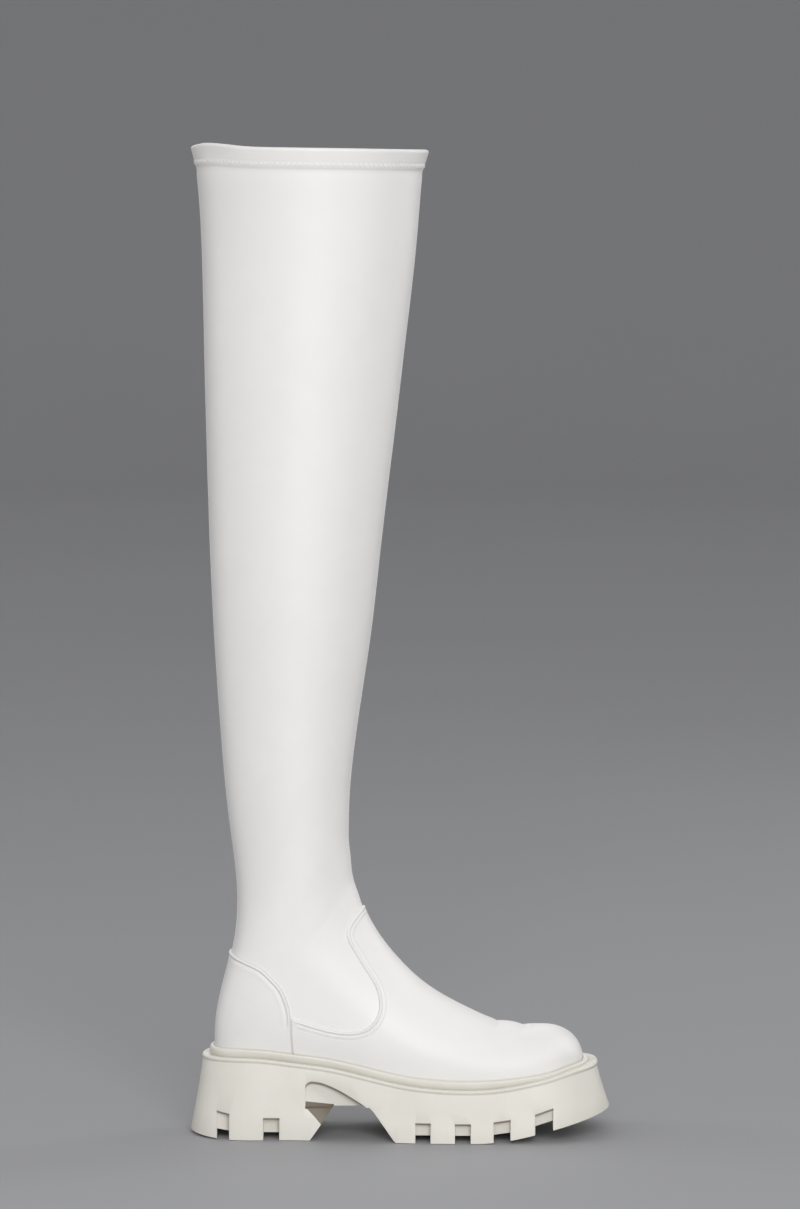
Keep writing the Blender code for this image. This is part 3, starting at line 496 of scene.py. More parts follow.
class LastSurface:
    """The last's surface through some rows: points, triangles or quads, normals, and for each point its
    row and its distance from the ridge. It is one point at the toe, open along the feather line, and
    joined along the back of the heel and shaft."""

    def __init__(self, rows, columns):
        points, runs, row_of, self.index, feather = [], [], [], [], []
        for number, row in enumerate(rows):
            line, run = section_line(row, columns)
            first, width = len(points), len(line)
            if number == 0 and row == 0:
                places, keep = [first] * width, 1
            elif row >= HEEL_SECTION:
                places, keep = [*range(first, first + width - 1), first], width - 1
            else:
                places, keep = list(range(first, first + width)), width
            points += list(line[:keep])
            runs += list(run[:keep])
            row_of += [row] * keep
            self.index.append(places)
            if row <= HEEL_SECTION:
                feather += [places[0], places[-1]]
        self.points, self.run, self.row = np.array(points), np.array(runs), np.array(row_of)
        self.index = np.array(self.index)
        upper, lower = self.index[:-1], self.index[1:]
        quads = np.stack([upper[:, :-1], upper[:, 1:], lower[:, 1:], lower[:, :-1]], axis=2).reshape(-1, 4)
        self.faces = [tuple(dict.fromkeys(quad)) for quad in quads.tolist()]
        self.triangles = np.array([(f[0], f[i], f[i + 1]) for f in self.faces for i in range(1, len(f) - 1)])
        self.feather = feather
        self.settle()

    def settle(self):
        """Outward normals, which are level along the feather line."""
        a, b, c = (self.points[self.triangles[:, i]] for i in range(3))
        facing = np.cross(b - a, c - a)
        self.normals = np.zeros_like(self.points)
        for i in range(3):
            np.add.at(self.normals, self.triangles[:, i], facing)
        self.normals[self.feather, 2] = 0.0
        self.normals /= np.linalg.norm(self.normals, axis=1)[:, None]

    def crease(self):
        """Presses the soft creases into the surface: they are shared by all that lies on it."""
        s, _, z = self.points.T
        reach = np.abs(self.run)
        depth = np.zeros(len(s))
        over_toes = np.exp(-(reach / 29.0) ** 4) * (self.row < 5.0)
        for station, bend, width, height in TOE_CREASES:
            depth += over_toes * height * bell(s + bend * reach ** 2, station, width)
        front = bell(reach, 0.0, 34.0) * (self.row > 7.0)
        for level, slant, width, height in ANKLE_CREASES:
            depth += front * height * bell(z + slant * reach, level, width)
        shaft = eased(self.row, 15.0, 18.0)
        lean = self.run / 26.0
        depth += shaft * 0.28 * np.sin(z / 34.0 + lean) * np.sin(z / 71.0 - 0.7 * lean + 0.8)
        self.points = self.points + self.normals * depth[:, None]
        self.settle()


def to_frame(points):
    """Points counted from the back of the sole, in millimetres, moved to the frame's origin, in metres."""
    return (np.asarray(points, float) - (HALF_SOLE, 0.0, 0.0)) * 0.001


def seam_columns(size):
    """Distances from the ridge: close together beside the ridge and the far end, where seams run."""
    near = np.array([0.0, 0.45, 0.9, 1.5, 2.2, 3.0, 4.2, 6.0, 8.5]) * min(1.0, size / 60.0)
    middle = np.linspace(near[-1], size - near[-1], 37)[1:-1]
    return np.concatenate([near, middle, size - near[::-1]])


foot_rows = close_rows(0, HEEL_SECTION, 3.0)
ankle_rows = close_rows(HEEL_SECTION, SHAFT_SECTION, 3.6)
shaft_rows = close_rows(SHAFT_SECTION, COLLAR_SECTION, 6.5)
collar_rise = SECTIONS[LAST_SECTION][1] - SECTIONS[COLLAR_SECTION][1]
hem_rows = list(LAST_SECTION - np.linspace(HEM_START, HEM_ROUND, HEM_ROWS) / collar_rise)
upper_rows = [*foot_rows, *ankle_rows[1:], *shaft_rows[1:], *hem_rows]
wall = LastSurface(upper_rows, seam_columns)
wall.crease()

below_top = (LAST_SECTION - wall.row) * collar_rise
row_starts = np.flatnonzero(np.diff(wall.row)) + 1
back_run = np.array([np.abs(line).max() for line in np.split(wall.run, row_starts)])
row_number = np.concatenate([[0], np.cumsum(np.diff(wall.row) != 0)])
from_back = back_run[row_number] - np.abs(wall.run)
front_seam = eased(wall.row, *FRONT_SEAM_ROWS)
back_seam = eased(wall.row, *BACK_SEAM_ROWS)
relief = np.zeros(len(wall.points))
seam_mark = np.zeros(len(wall.points))
for distance, present in ((np.abs(wall.run), front_seam), (from_back, back_seam)):
    relief += present * relief_across(distance, SEAM_RELIEF)
    seam_mark = np.maximum(seam_mark, present * bell(distance, 0.0, 0.7))
hem = eased(-below_top, -HEM_HEIGHT - 0.9, -HEM_HEIGHT + 0.7)
relief = relief * (1 - 0.5 * hem) + HEM_STEP * hem
relief += HEM_FLARE * eased(-below_top, -11.0, 0.0) + relief_across(below_top, HEM_RELIEF)
corner_dent = bell(wall.points[:, 0], 21.0, 9.0) * bell(below_top, 8.0, 7.0)
relief -= 0.9 * corner_dent
seam_mark = np.maximum(seam_mark, 0.25 * bell(below_top, HEM_HEIGHT + 0.6, 0.5))


def lift_collar(points):
    """Raises the collar's edge a little near its back corner, where the hem stands up."""
    s, z = points[:, 0], points[:, 2]
    spread = np.where(s < COLLAR_PEAK, 9.0, 20.0)
    points[:, 2] += COLLAR_LIFT * bell(s, COLLAR_PEAK, spread) * eased(z, 652.0, 681.0)
    return points


outer = wall.points + wall.normals * relief[:, None]
inner_hem = eased(-below_top, -HEM_HEIGHT - 0.5, -HEM_HEIGHT + 0.3) * 0.6
inner = wall.points - wall.normals * (UPPER_WALL + inner_hem)[:, None]
count = len(outer)
top = wall.index[-1][:-1]
rim_up = wall.points[top] - wall.points[wall.index[-2][:-1]]
rim_up /= np.linalg.norm(rim_up, axis=1)[:, None]
rim_centre, rim_half = (outer[top] + inner[top]) / 2, (outer[top] - inner[top]) / 2
rim_levels = [
    rim_centre + rim_half * math.cos(turn) + rim_up * HEM_ROUND * math.sin(turn)
    for turn in RIM_TURNS
]
upper_points = lift_collar(np.vstack([outer, inner, *rim_levels]))
upper_faces = list(wall.faces) + [tuple(count + i for i in reversed(face)) for face in wall.faces]
lining_from = len(wall.faces)
lining_to = len(upper_faces)
ring_starts = [2 * count + k * len(top) for k in range(len(rim_levels))]
rings = [list(top), *(list(range(start, start + len(top))) for start in ring_starts)]
rings.append([count + i for i in top])
for low, high in zip(rings, rings[1:]):
    for i in range(len(low)):
        j = (i + 1) % len(low)
        upper_faces.append((low[i], low[j], high[j], high[i]))
feather_ring = [wall.index[i][0] for i in range(len(foot_rows))]
feather_ring += [wall.index[i][-1] for i in range(len(foot_rows) - 2, 0, -1)]
for i, a in enumerate(feather_ring):
    b = feather_ring[(i + 1) % len(feather_ring)]
    upper_faces.append((a, b, count + b, count + a))


def leather_finish(name, white, shade):
    """Stretch synthetic leather: satin skin, fine even grain, a little cloudiness, darker along its seams,
    with painted shade in the stitch grooves beside panel edges, a painted contact shadow along the welt
    and painted shade towards the sole."""
    leather = Finish(name)
    cloud = leather.noise(9.0, 3.0)
    fine_cloud = leather.noise(55.0, 2.0)
    seam = leather.attribute("seam")
    tone = leather.span(cloud * 0.65 + fine_cloud * 0.35, 0.3, 0.72)
    colour = leather.mix(tone * 0.32, white, shade)
    colour = leather.mix(seam * 0.5, colour, LEATHER_SEAM_AND_SHADE)
    # Painted shade: a contact shadow along the top of the welt, and a faint darkening towards the sole.
    foot = leather.attribute("foot")
    foot_shade = leather.span(foot, 1.4, 0.0) * 0.4 + leather.span(foot, 38.0, 0.0) * 0.08
    colour = leather.mix(foot_shade, colour, LEATHER_SEAM_AND_SHADE)
    grain = leather.cells(1150.0) * 0.6 + leather.noise(2100.0, 2.0) * 0.4
    pull = leather.noise(70.0, 2.0, 0.5, leather.stretched((1.0, 1.0, 0.25)))
    normal = leather.bump(grain * 0.5 + pull * 0.5, 0.00026, 0.5)
    leather.done(
        base_color=colour, roughness=0.47 + 0.12 * cloud + 0.12 * seam, normal=normal,
        coat_weight=0.05 + 0.06 * fine_cloud, coat_roughness=0.4, specular_ior_level=0.38,
    )
    return leather.material


def lining_finish():
    """Brushed knit: rows of small loops, matt."""
    knit = Finish("knit_lining")
    loops = knit.cells(900.0, knit.stretched((1.0, 1.0, 0.6)))
    fuzz = knit.noise(500.0, 3.0)
    colour = knit.mix(fuzz, LINING_COLOUR, toned(LINING_COLOUR, 0.86))
    normal = knit.bump(loops + fuzz * 0.5, 0.0004, 0.6)
    knit.done(base_color=colour, roughness=0.86 + 0.08 * fuzz, normal=normal, sheen_weight=0.3)
    return knit.material


def mark_points(piece, name, values):
    """Stores a number for each point of a piece, for its finish to read."""
    store = piece.data.attributes.new(name, "FLOAT", "POINT")
    store.data.foreach_set("value", np.asarray(values, np.float32))


WELT_TOP, WELT_SHARES = 6.6, ((205.0, 1.0), (222.0, 0.86), (236.0, 0.69), (252.0, 0.47), (270.5, 0.38))


def foot_height(points):
    """Height of points above the top of the welt."""
    seat = seat_curve(np.clip(points[:, 0], HEEL_STATION, TOE_STATION))[:, 0]
    return points[:, 2] - seat - WELT_TOP * np.interp(points[:, 0], *zip(*WELT_SHARES))


def mark_leather(piece, points, seam):
    """Marks a piece's seams and the painted shade beside them, which are given for its outer points, and its
    height above the welt, which its finish reads to paint shade along the welt and towards the sole.
    """
    mark_points(piece, "seam", np.concatenate([seam, np.zeros(len(points) - len(seam))]))
    mark_points(piece, "foot", foot_height(points))


def face_outwards(piece):
    shape = bmesh.new()
    shape.from_mesh(piece.data)
    bmesh.ops.recalc_face_normals(shape, faces=shape.faces)
    shape.to_mesh(piece.data)
    shape.free()


upper_leather = leather_finish("upper_leather", LEATHER_WHITE, LEATHER_SHADE)
upper = add_piece("upper_shell", to_frame(upper_points), upper_faces, upper_leather)
upper.data.materials.append(lining_finish())
material_of = np.zeros(len(upper_faces), np.int32)
material_of[lining_from:lining_to] = 1
upper.data.polygons.foreach_set("material_index", material_of)
mark_leather(upper, upper_points, seam_mark)
face_outwards(upper)
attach(upper, "boot")
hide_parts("upper")


# Vamp
# The panel over the foot, cut from the same leather with its edge turned under, laid over the quarter
# and held by two rows of stitches that follow the edge.
VAMP_EDGE = (
    (126.5, 162.5), (116.5, 154.6), (110.4, 147.6), (108.1, 140.0), (112.0, 130.6), (120.4, 116.8),
    (127.9, 104.6), (130.6, 92.6), (128.2, 83.4), (121.0, 76.6), (109.5, 74.4), (88.9, 77.8),
    (69.8, 83.7),
)
COUNTER_EDGE = (
    (20.0, 129.2), (30.0, 125.4), (42.2, 121.2), (50.4, 117.2), (57.3, 110.8), (62.6, 105.0),
    (66.0, 98.6), (68.6, 91.0), (69.8, 83.0), (70.0, 72.0), (71.4, 55.0),
)
SEAM_GAP = 0.45
VAMP_HEIGHT, EDGE_ROUND = 1.3, 0.9
VAMP_ROWS, VAMP_ROW_SHADES = (2.3, 4.9), (0.45, 0.12)
VAMP_RELIEF = ((1.1, 0.75, 0.5), (3.6, 0.9, 0.16), (VAMP_ROWS[0], 0.45, -0.26), (VAMP_ROWS[1], 0.5, -0.14))
PANEL_BASE = -0.3
FINE_WITHIN, CLOSE_WITHIN, FAR_AWAY = 9.0, 25.0, 40.0
SKIN_SPACING, SKIN_COLUMNS, SKIN_TOP = 2.3, 63, 15.6
THREAD_SMOOTHING = 14
VAMP_LEVELS = (0.0, 0.1, 0.3, 0.6, 1.0, 1.5, 1.9, 2.3, 2.7, 3.5, 4.3, 4.9, 5.5, 6.6, 8.5)


def smooth_outline(points, per_span=8):
    """Points on a smooth curve through a few points of an outline."""
    points = np.array(points)
    along = np.concatenate([[0], np.cumsum(np.linalg.norm(np.diff(points, axis=0), axis=1))])
    places = np.interp(np.arange((len(along) - 1) * per_span + 1) / per_span, np.arange(len(along)), along)
    return smooth_through(along, points)(places)


def inside_outline(places, outline):
    """Which places, as (station, height), lie inside a closed outline."""
    x, y = places.T
    inside = np.zeros(len(places), bool)
    for (x0, y0), (x1, y1) in zip(outline, np.roll(outline, -1, axis=0)):
        if y0 != y1:
            inside ^= ((y0 > y) != (y1 > y)) & (x < x0 + (y - y0) * (x1 - x0) / (y1 - y0))
    return inside


def flat_distance(places, line):
    """Distance of places from an open line in side view."""
    best = np.full(len(places), 1e9)
    for a, b in zip(line, line[1:]):
        run = b - a
        share = np.clip((places - a) @ run / (run @ run), 0.0, 1.0)
        best = np.minimum(best, np.linalg.norm(places - a - share[:, None] * run, axis=1))
    return best


def crossing_segments(points, triangles, values):
    """Short lengths of the line where values on a surface pass through nought."""
    segments = []
    crossed = (values[triangles] > 0).any(axis=1) & (values[triangles] <= 0).any(axis=1)
    for triangle in triangles[crossed]:
        ends = []
        for a, b in ((0, 1), (1, 2), (2, 0)):
            va, vb = values[triangle[a]], values[triangle[b]]
            if (va > 0) != (vb > 0):
                share = va / (va - vb)
                ends.append(points[triangle[a]] * (1 - share) + points[triangle[b]] * share)
        segments.append(ends)
    return np.array(segments)


def distance_to(points, segments):
    """Distance of points from the nearest of many short lengths."""
    start, run = segments[:, 0], segments[:, 1] - segments[:, 0]
    size = np.maximum((run ** 2).sum(axis=1), 1e-12)
    best = np.empty(len(points))
    for first in range(0, len(points), 1500):
        part = points[first:first + 1500]
        share = np.clip(((part[:, None] - start) * run).sum(axis=2) / size, 0.0, 1.0)
        away = part[:, None] - start - share[:, :, None] * run
        best[first:first + 1500] = np.sqrt((away ** 2).sum(axis=2).min(axis=1))
    return best


def cut_along(fields, triangles, key, level, snap=0.07):
    """Cuts a surface's triangles along a level of one of its fields. Returns the fields with the new
    points added, the new triangles, and the numbers of the points on the line."""
    value = fields[key] - level
    value = np.where(np.abs(value) < snap, 0.0, value)
    sign = np.sign(value).astype(int)
    corner = sign[triangles]
    crossed = (corner.max(axis=1) > 0) & (corner.min(axis=1) < 0)
    kept = triangles[~crossed].tolist()
    first = len(value)
    new, shares, made = {}, [], []

    def middle(a, b):
        pair = (min(a, b), max(a, b))
        if pair not in new:
            new[pair] = first + len(new)
            shares.append((*pair, value[pair[0]] / (value[pair[0]] - value[pair[1]])))
        return new[pair]

    for triangle in triangles[crossed].tolist():
        signs = [sign[i] for i in triangle]
        if 0 in signs:
            k = signs.index(0)
            a, b, c = triangle[k], triangle[(k + 1) % 3], triangle[(k + 2) % 3]
            m = middle(b, c)
            made += [(a, b, m), (a, m, c)]
        else:
            k = signs.index(-sum(signs))
            a, b, c = triangle[k], triangle[(k + 1) % 3], triangle[(k + 2) % 3]
            m, n = middle(a, b), middle(a, c)
            made += [(a, m, n), (m, b, c), (m, c, n)]
    if shares:
        a, b, share = (np.array(column) for column in zip(*shares))
        a, b = a.astype(int), b.astype(int)
        for name, field in fields.items():
            part = share if field.ndim == 1 else share[:, None]
            fields[name] = np.concatenate([field, field[a] * (1 - part) + field[b] * part])
        fields[key][first:] = level
    on_line = np.concatenate([np.flatnonzero(sign == 0), np.arange(first, first + len(new))])
    return fields, np.array(kept + made), on_line


def triangle_edges(triangle):
    """The three edges of a triangle, each with its lower number first."""
    a, b, c = triangle
    return [(min(pair), max(pair)) for pair in ((a, b), (b, c), (c, a))]


def line_edges(triangles, on_line):
    """Edges of a surface whose two ends are on a line."""
    marked = set(on_line.tolist())
    edges = {pair for triangle in triangles.tolist() for pair in triangle_edges(triangle)}
    return sorted(pair for pair in edges if pair[0] in marked and pair[1] in marked)


def even_columns(size):
    return np.linspace(0.0, size, SKIN_COLUMNS)


skin_rows = close_rows(0, HEEL_SECTION, SKIN_SPACING)
skin_rows += close_rows(HEEL_SECTION, SKIN_TOP, SKIN_SPACING)[1:]
skin = LastSurface(skin_rows, even_columns)
skin.crease()


def split_finely(points, normals, triangles, chosen):
    """Splits the triangles that touch chosen points in four, and their neighbours to match. New points
    stand on the curve that the normals at both ends of an edge call for."""
    first, new, pairs = len(points), {}, []
    split = chosen[triangles].any(axis=1)
    for triangle in triangles[split].tolist():
        for pair in triangle_edges(triangle):
            if pair not in new:
                new[pair] = first + len(pairs)
                pairs.append(pair)
    made = []
    for triangle in triangles.tolist():
        a, b, c = triangle
        middles = [new.get(pair) for pair in triangle_edges(triangle)]
        whole = middles.count(None)
        while whole in (1, 2) and (middles[0] is None or (whole == 1 and middles[1] is None)):
            a, b, c = b, c, a
            middles = middles[1:] + middles[:1]
        m, n, o = middles
        if m is None:
            made.append((a, b, c))
        elif n is None:
            made += [(a, m, c), (m, b, c)]
        elif o is None:
            made += [(m, b, n), (a, m, n), (a, n, c)]
        else:
            made += [(a, m, o), (m, b, n), (n, c, o), (m, n, o)]
    p, q = np.array(pairs).T
    out = normals[p] + normals[q]
    out /= np.linalg.norm(out, axis=1)[:, None]
    bulge = ((points[q] - points[p]) * (normals[q] - normals[p])).sum(axis=1) / 8
    middle = (points[p] + points[q]) / 2 + out * bulge[:, None]
    return np.vstack([points, middle]), np.vstack([normals, out]), np.array(made)


class Panel:
    """A panel on the skin: what of it lies inside an outline in side view, cut finely beside its edge.
    rim is the distance from the whole edge, and dressed the distance from the part that is dressed."""

    def __init__(self, outline, lines, levels):
        near = np.min([flat_distance(skin.points[:, [0, 2]], line) for line in lines], axis=0) < FINE_WITHIN
        points, normals, self.triangles = split_finely(skin.points, skin.normals, skin.triangles, near)
        places = points[:, [0, 2]]
        inside = inside_outline(places, outline)
        distances = []
        for line in lines:
            flat = np.where(inside, 1.0, -1.0) * flat_distance(places, line)
            away = np.full(len(points), FAR_AWAY)
            close = np.abs(flat) < CLOSE_WITHIN
            crossing = crossing_segments(points, self.triangles, flat)
            crossing = crossing[flat_distance(crossing.mean(axis=1)[:, [0, 2]], line) < 1.5]
            away[close] = distance_to(points[close], crossing)
            distances.append(away)
        rim = np.where(inside, 1.0, -1.0) * np.min(distances, axis=0)
        self.fields = {"point": points, "normal": normals, "rim": rim, "dressed": distances[0]}
        self.fields["plain"] = distances[-1] if len(lines) > 1 else np.full(len(rim), 1e3)
        self.lines = {}
        for level in levels:
            self.fields, self.triangles, on_line = cut_along(self.fields, self.triangles, "rim", level)
            self.lines[level] = on_line
        centre = self.fields["rim"][self.triangles].mean(axis=1)
        self.triangles = self.triangles[centre > 0]
        size = np.linalg.norm(self.fields["normal"], axis=1)[:, None]
        self.fields["normal"] = self.fields["normal"] / size

    def solid(self, height, base):
        """Points and faces of the panel between two heights over the last."""
        used = np.unique(self.triangles)
        number = np.full(len(self.fields["rim"]), -1)
        number[used] = np.arange(len(used))
        top = number[self.triangles]
        point, normal = self.fields["point"][used], self.fields["normal"][used]
        size = len(used)
        faces = top.tolist() + (top[:, ::-1] + size).tolist()
        edges = {}
        for a, b, c in top.tolist():
            for pair in ((a, b), (b, c), (c, a)):
                edges[pair] = True
        for a, b in edges:
            if (b, a) not in edges:
                faces.append((b, a, a + size, b + size))
        raised = point + normal * height[used][:, None]
        self.used = used
        return np.vstack([raised, point + normal * base]), faces

    def thread_line(self, level, height):
        """The line a row of stitches follows: points, edges and outward directions."""
        dressed = self.fields["dressed"] < self.fields["plain"] + 0.6
        edges = [e for e in line_edges(self.triangles, self.lines[level]) if dressed[e[0]] and dressed[e[1]]]
        ends = sorted({i for edge in edges for i in edge})
        number = {i: k for k, i in enumerate(ends)}
        joins = np.array([(number[a], number[b]) for a, b in edges])
        point, normal = self.fields["point"][ends], self.fields["normal"][ends]
        point = point + normal * height[ends][:, None]
        meetings = np.bincount(joins.ravel(), minlength=len(ends))
        for _ in range(THREAD_SMOOTHING):
            total = np.zeros_like(point)
            np.add.at(total, joins[:, 0], point[joins[:, 1]])
            np.add.at(total, joins[:, 1], point[joins[:, 0]])
            inner = meetings == 2
            point[inner] = point[inner] * 0.5 + total[inner] * 0.25
        return point, joins.tolist(), normal


counter_line = smooth_outline(COUNTER_EDGE)
vamp_line = smooth_outline(VAMP_EDGE)
lower_seam = counter_line[counter_line[:, 1] < VAMP_EDGE[-1][1] + 0.5] + (SEAM_GAP, 0.0)
vamp_outline = np.vstack([
    vamp_line, lower_seam, [(lower_seam[-1][0], 0.0), (290.0, 0.0), (290.0, 192.0), (146.5, 192.0)],
])
vamp_panel = Panel(vamp_outline, [vamp_line, lower_seam], VAMP_LEVELS)


def round_edge(rim, height):
    """Height over the last of a panel whose edge is rounded over."""
    return height * np.sqrt(1 - (1 - np.clip(rim / EDGE_ROUND, 0.0, 1.0)) ** 2)


vamp_rim = np.maximum(vamp_panel.fields["rim"], 0.0)
turned = eased(vamp_panel.fields["plain"] - vamp_panel.fields["dressed"], -1.0, 2.0)
vamp_over = turned * relief_across(vamp_rim, VAMP_RELIEF) * eased(vamp_rim, 0.0, 0.5)
vamp_over += round_edge(vamp_rim, VAMP_HEIGHT)
vamp_points, vamp_faces = vamp_panel.solid(vamp_over, PANEL_BASE)
panel_leather = leather_finish("panel_leather", LEATHER_WHITE, LEATHER_SHADE)
vamp = add_piece("vamp_panel", to_frame(vamp_points), vamp_faces, panel_leather)
# Painted shade along the turned edge and in the grooves of both stitch rows, stored with the seam marks.
vamp_edge_shade = 0.4 * bell(vamp_panel.fields["rim"], 0.0, 0.35)
for sewn_at, tint in zip(VAMP_ROWS, VAMP_ROW_SHADES):
    vamp_edge_shade = np.maximum(vamp_edge_shade, tint * turned * bell(vamp_rim, sewn_at, 0.45))
mark_leather(vamp, vamp_points, vamp_edge_shade[vamp_panel.used])
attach(vamp, "boot")
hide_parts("vamp")


# Counter
# The panel round the heel, of the same leather over a stiffener. Its edge is piped: a thin cord is
# folded into it, which stands up as a rib from the back of the ankle to where the vamp meets it. Below
# that the edge is plain and butts against the vamp's.
COUNTER_LEVELS = (0.0, 0.08, 0.25, 0.5, 0.85, 1.3, 1.75, 2.1, 2.4, 2.8, 3.3, 4.0, 5.2, 7.0)
CORD_RADIUS, CORD_HEIGHT, COUNTER_HEIGHT = 1.3, 2.0, 1.2
COUNTER_RELIEF = ((2.75, 0.45, -0.25), (5.2, 1.2, 0.22))
PIPED_FROM, PIPED_FULLY = 74.0, 84.0
BEHIND_HEEL = -20.0

counter_outline = np.vstack([
    counter_line, [(counter_line[-1][0], 0.0), (BEHIND_HEEL, 0.0), (BEHIND_HEEL, COUNTER_EDGE[0][1])],
])
counter_panel = Panel(counter_outline, [counter_line], COUNTER_LEVELS)
counter_rim = np.maximum(counter_panel.fields["rim"], 0.0)
piped = eased(counter_panel.fields["point"][:, 2], PIPED_FROM, PIPED_FULLY)
cord = CORD_HEIGHT * np.sqrt(np.clip(1 - ((counter_rim - CORD_RADIUS) / CORD_RADIUS) ** 2, 0.0, 1.0))
beside_cord = COUNTER_HEIGHT * eased(counter_rim, 0.9, 2.3) + relief_across(counter_rim, COUNTER_RELIEF)
butted = round_edge(counter_rim, COUNTER_HEIGHT)
counter_over = piped * np.maximum(cord, beside_cord) + (1 - piped) * butted
counter_points, counter_faces = counter_panel.solid(counter_over, PANEL_BASE)
counter = add_piece("counter_panel", to_frame(counter_points), counter_faces, panel_leather)
# The edge's dark seam line, and painted shade in the groove beside the piped cord.
counter_seam_and_shade = np.maximum(bell(counter_rim, 0.0, 0.3), 0.45 * piped * bell(counter_rim, 2.7, 0.4))
mark_leather(counter, counter_points, counter_seam_and_shade[counter_panel.used])
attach(counter, "boot")
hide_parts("counter")


# Stitching
# Polyester thread, sewn by machine: two rows beside the vamp's edge, one on each side of the front and
# back seams, and a zigzag round the hem, which stretches with the leather.
THREAD_COLOUR = (0.79, 0.775, 0.745)
HEM_STITCH_DEPTH, HEM_STITCH_SLANT = 11.4, math.radians(56)
FRONT_STITCH_ROW, BACK_STITCH_ROW = 9.45, 14.3
SEAM_STITCH = {"pitch": 0.0031, "length": 0.0024, "radius": 0.0002}


def repeat_tree():
    """Geometry Nodes that lay a small arched rod again and again along lines on a surface."""
    tree = bpy.data.node_groups.new("rods_along_lines", "GeometryNodeTree")
    tree.interface.new_socket("Lines", in_out="INPUT", socket_type="NodeSocketGeometry")
    for label in ("Pitch", "Length", "Radius", "Arch", "Slant", "Zigzag"):
        tree.interface.new_socket(label, in_out="INPUT", socket_type="NodeSocketFloat")
    tree.interface.new_socket("Finish", in_out="INPUT", socket_type="NodeSocketMaterial")
    tree.interface.new_socket("Rods", in_out="OUTPUT", socket_type="NodeSocketGeometry")
    given = tree.nodes.new("NodeGroupInput")

    def node(kind, settings=(), **links):
        made = tree.nodes.new(kind)
        for key, value in dict(settings).items():
            setattr(made, key, value)
        for key, value in links.items():
            socket = made.inputs[int(key[1:])] if key[0] == "_" else made.inputs[key.replace("_", " ")]
            if hasattr(value, "is_output"):
                tree.links.new(value, socket)
            else:
                socket.default_value = value
        return made

    def math_node(operation, first, second):
        return node("ShaderNodeMath", {"operation": operation}, _0=first, _1=second).outputs[0]

    half = math_node("MULTIPLY", given.outputs["Length"], 0.5)
    sunk = math_node("MULTIPLY", given.outputs["Radius"], -0.6)
    crown = math_node("MULTIPLY", given.outputs["Arch"], 2.0)
    start = node("ShaderNodeCombineXYZ", X=math_node("MULTIPLY", half, -1.0), Z=sunk)
    middle = node("ShaderNodeCombineXYZ", Z=crown)
    end = node("ShaderNodeCombineXYZ", X=half, Z=sunk)
    arc = node(
        "GeometryNodeCurveQuadraticBezier",
        Resolution=4, Start=start.outputs[0], Middle=middle.outputs[0], End=end.outputs[0],
    )
    ring = node("GeometryNodeCurvePrimitiveCircle", Resolution=6, Radius=given.outputs["Radius"])
    rod = node("GeometryNodeCurveToMesh", Curve=arc.outputs[0], Profile_Curve=ring.outputs[0], Fill_Caps=True)
    smooth = node("GeometryNodeSetShadeSmooth", Geometry=rod.outputs[0])
    lines = node("GeometryNodeMeshToCurve", Mesh=given.outputs["Lines"])
    spaced = node(
        "GeometryNodeResampleCurve", {"mode": "LENGTH"},
        Curve=lines.outputs[0], Length=given.outputs["Pitch"],
    )
    along = node("GeometryNodeInputTangent")
    out = node("GeometryNodeInputNamedAttribute", {"data_type": "FLOAT_VECTOR"}, Name="out")
    aligned = node("FunctionNodeAlignRotationToVector", {"axis": "X"}, Vector=along.outputs[0])
    upright = node(
        "FunctionNodeAlignRotationToVector", {"axis": "Z", "pivot_axis": "X"},
        Rotation=aligned.outputs[0], Vector=out.outputs["Attribute"],
    )
    parity = math_node("MODULO", node("GeometryNodeInputIndex").outputs[0], 2.0)
    turned_back = math_node("MULTIPLY", math_node("MULTIPLY", parity, 2.0), given.outputs["Zigzag"])
    swing = math_node("MULTIPLY", math_node("SUBTRACT", 1.0, turned_back), given.outputs["Slant"])
    turn = node("FunctionNodeAxisAngleToRotation", Axis=(0.0, 0.0, 1.0), Angle=swing)
    turned = node(
        "FunctionNodeRotateRotation", {"rotation_space": "LOCAL"},
        Rotation=upright.outputs[0], Rotate_By=turn.outputs[0],
    )
    placed = node(
        "GeometryNodeInstanceOnPoints",
        Points=spaced.outputs[0], Instance=smooth.outputs[0], Rotation=turned.outputs[0],
    )
    real = node("GeometryNodeRealizeInstances", Geometry=placed.outputs[0])
    dressed = node("GeometryNodeSetMaterial", Geometry=real.outputs[0], Material=given.outputs["Finish"])
    finished = tree.nodes.new("NodeGroupOutput")
    tree.links.new(dressed.outputs[0], finished.inputs[0])
    return tree


rods_along_lines = repeat_tree()


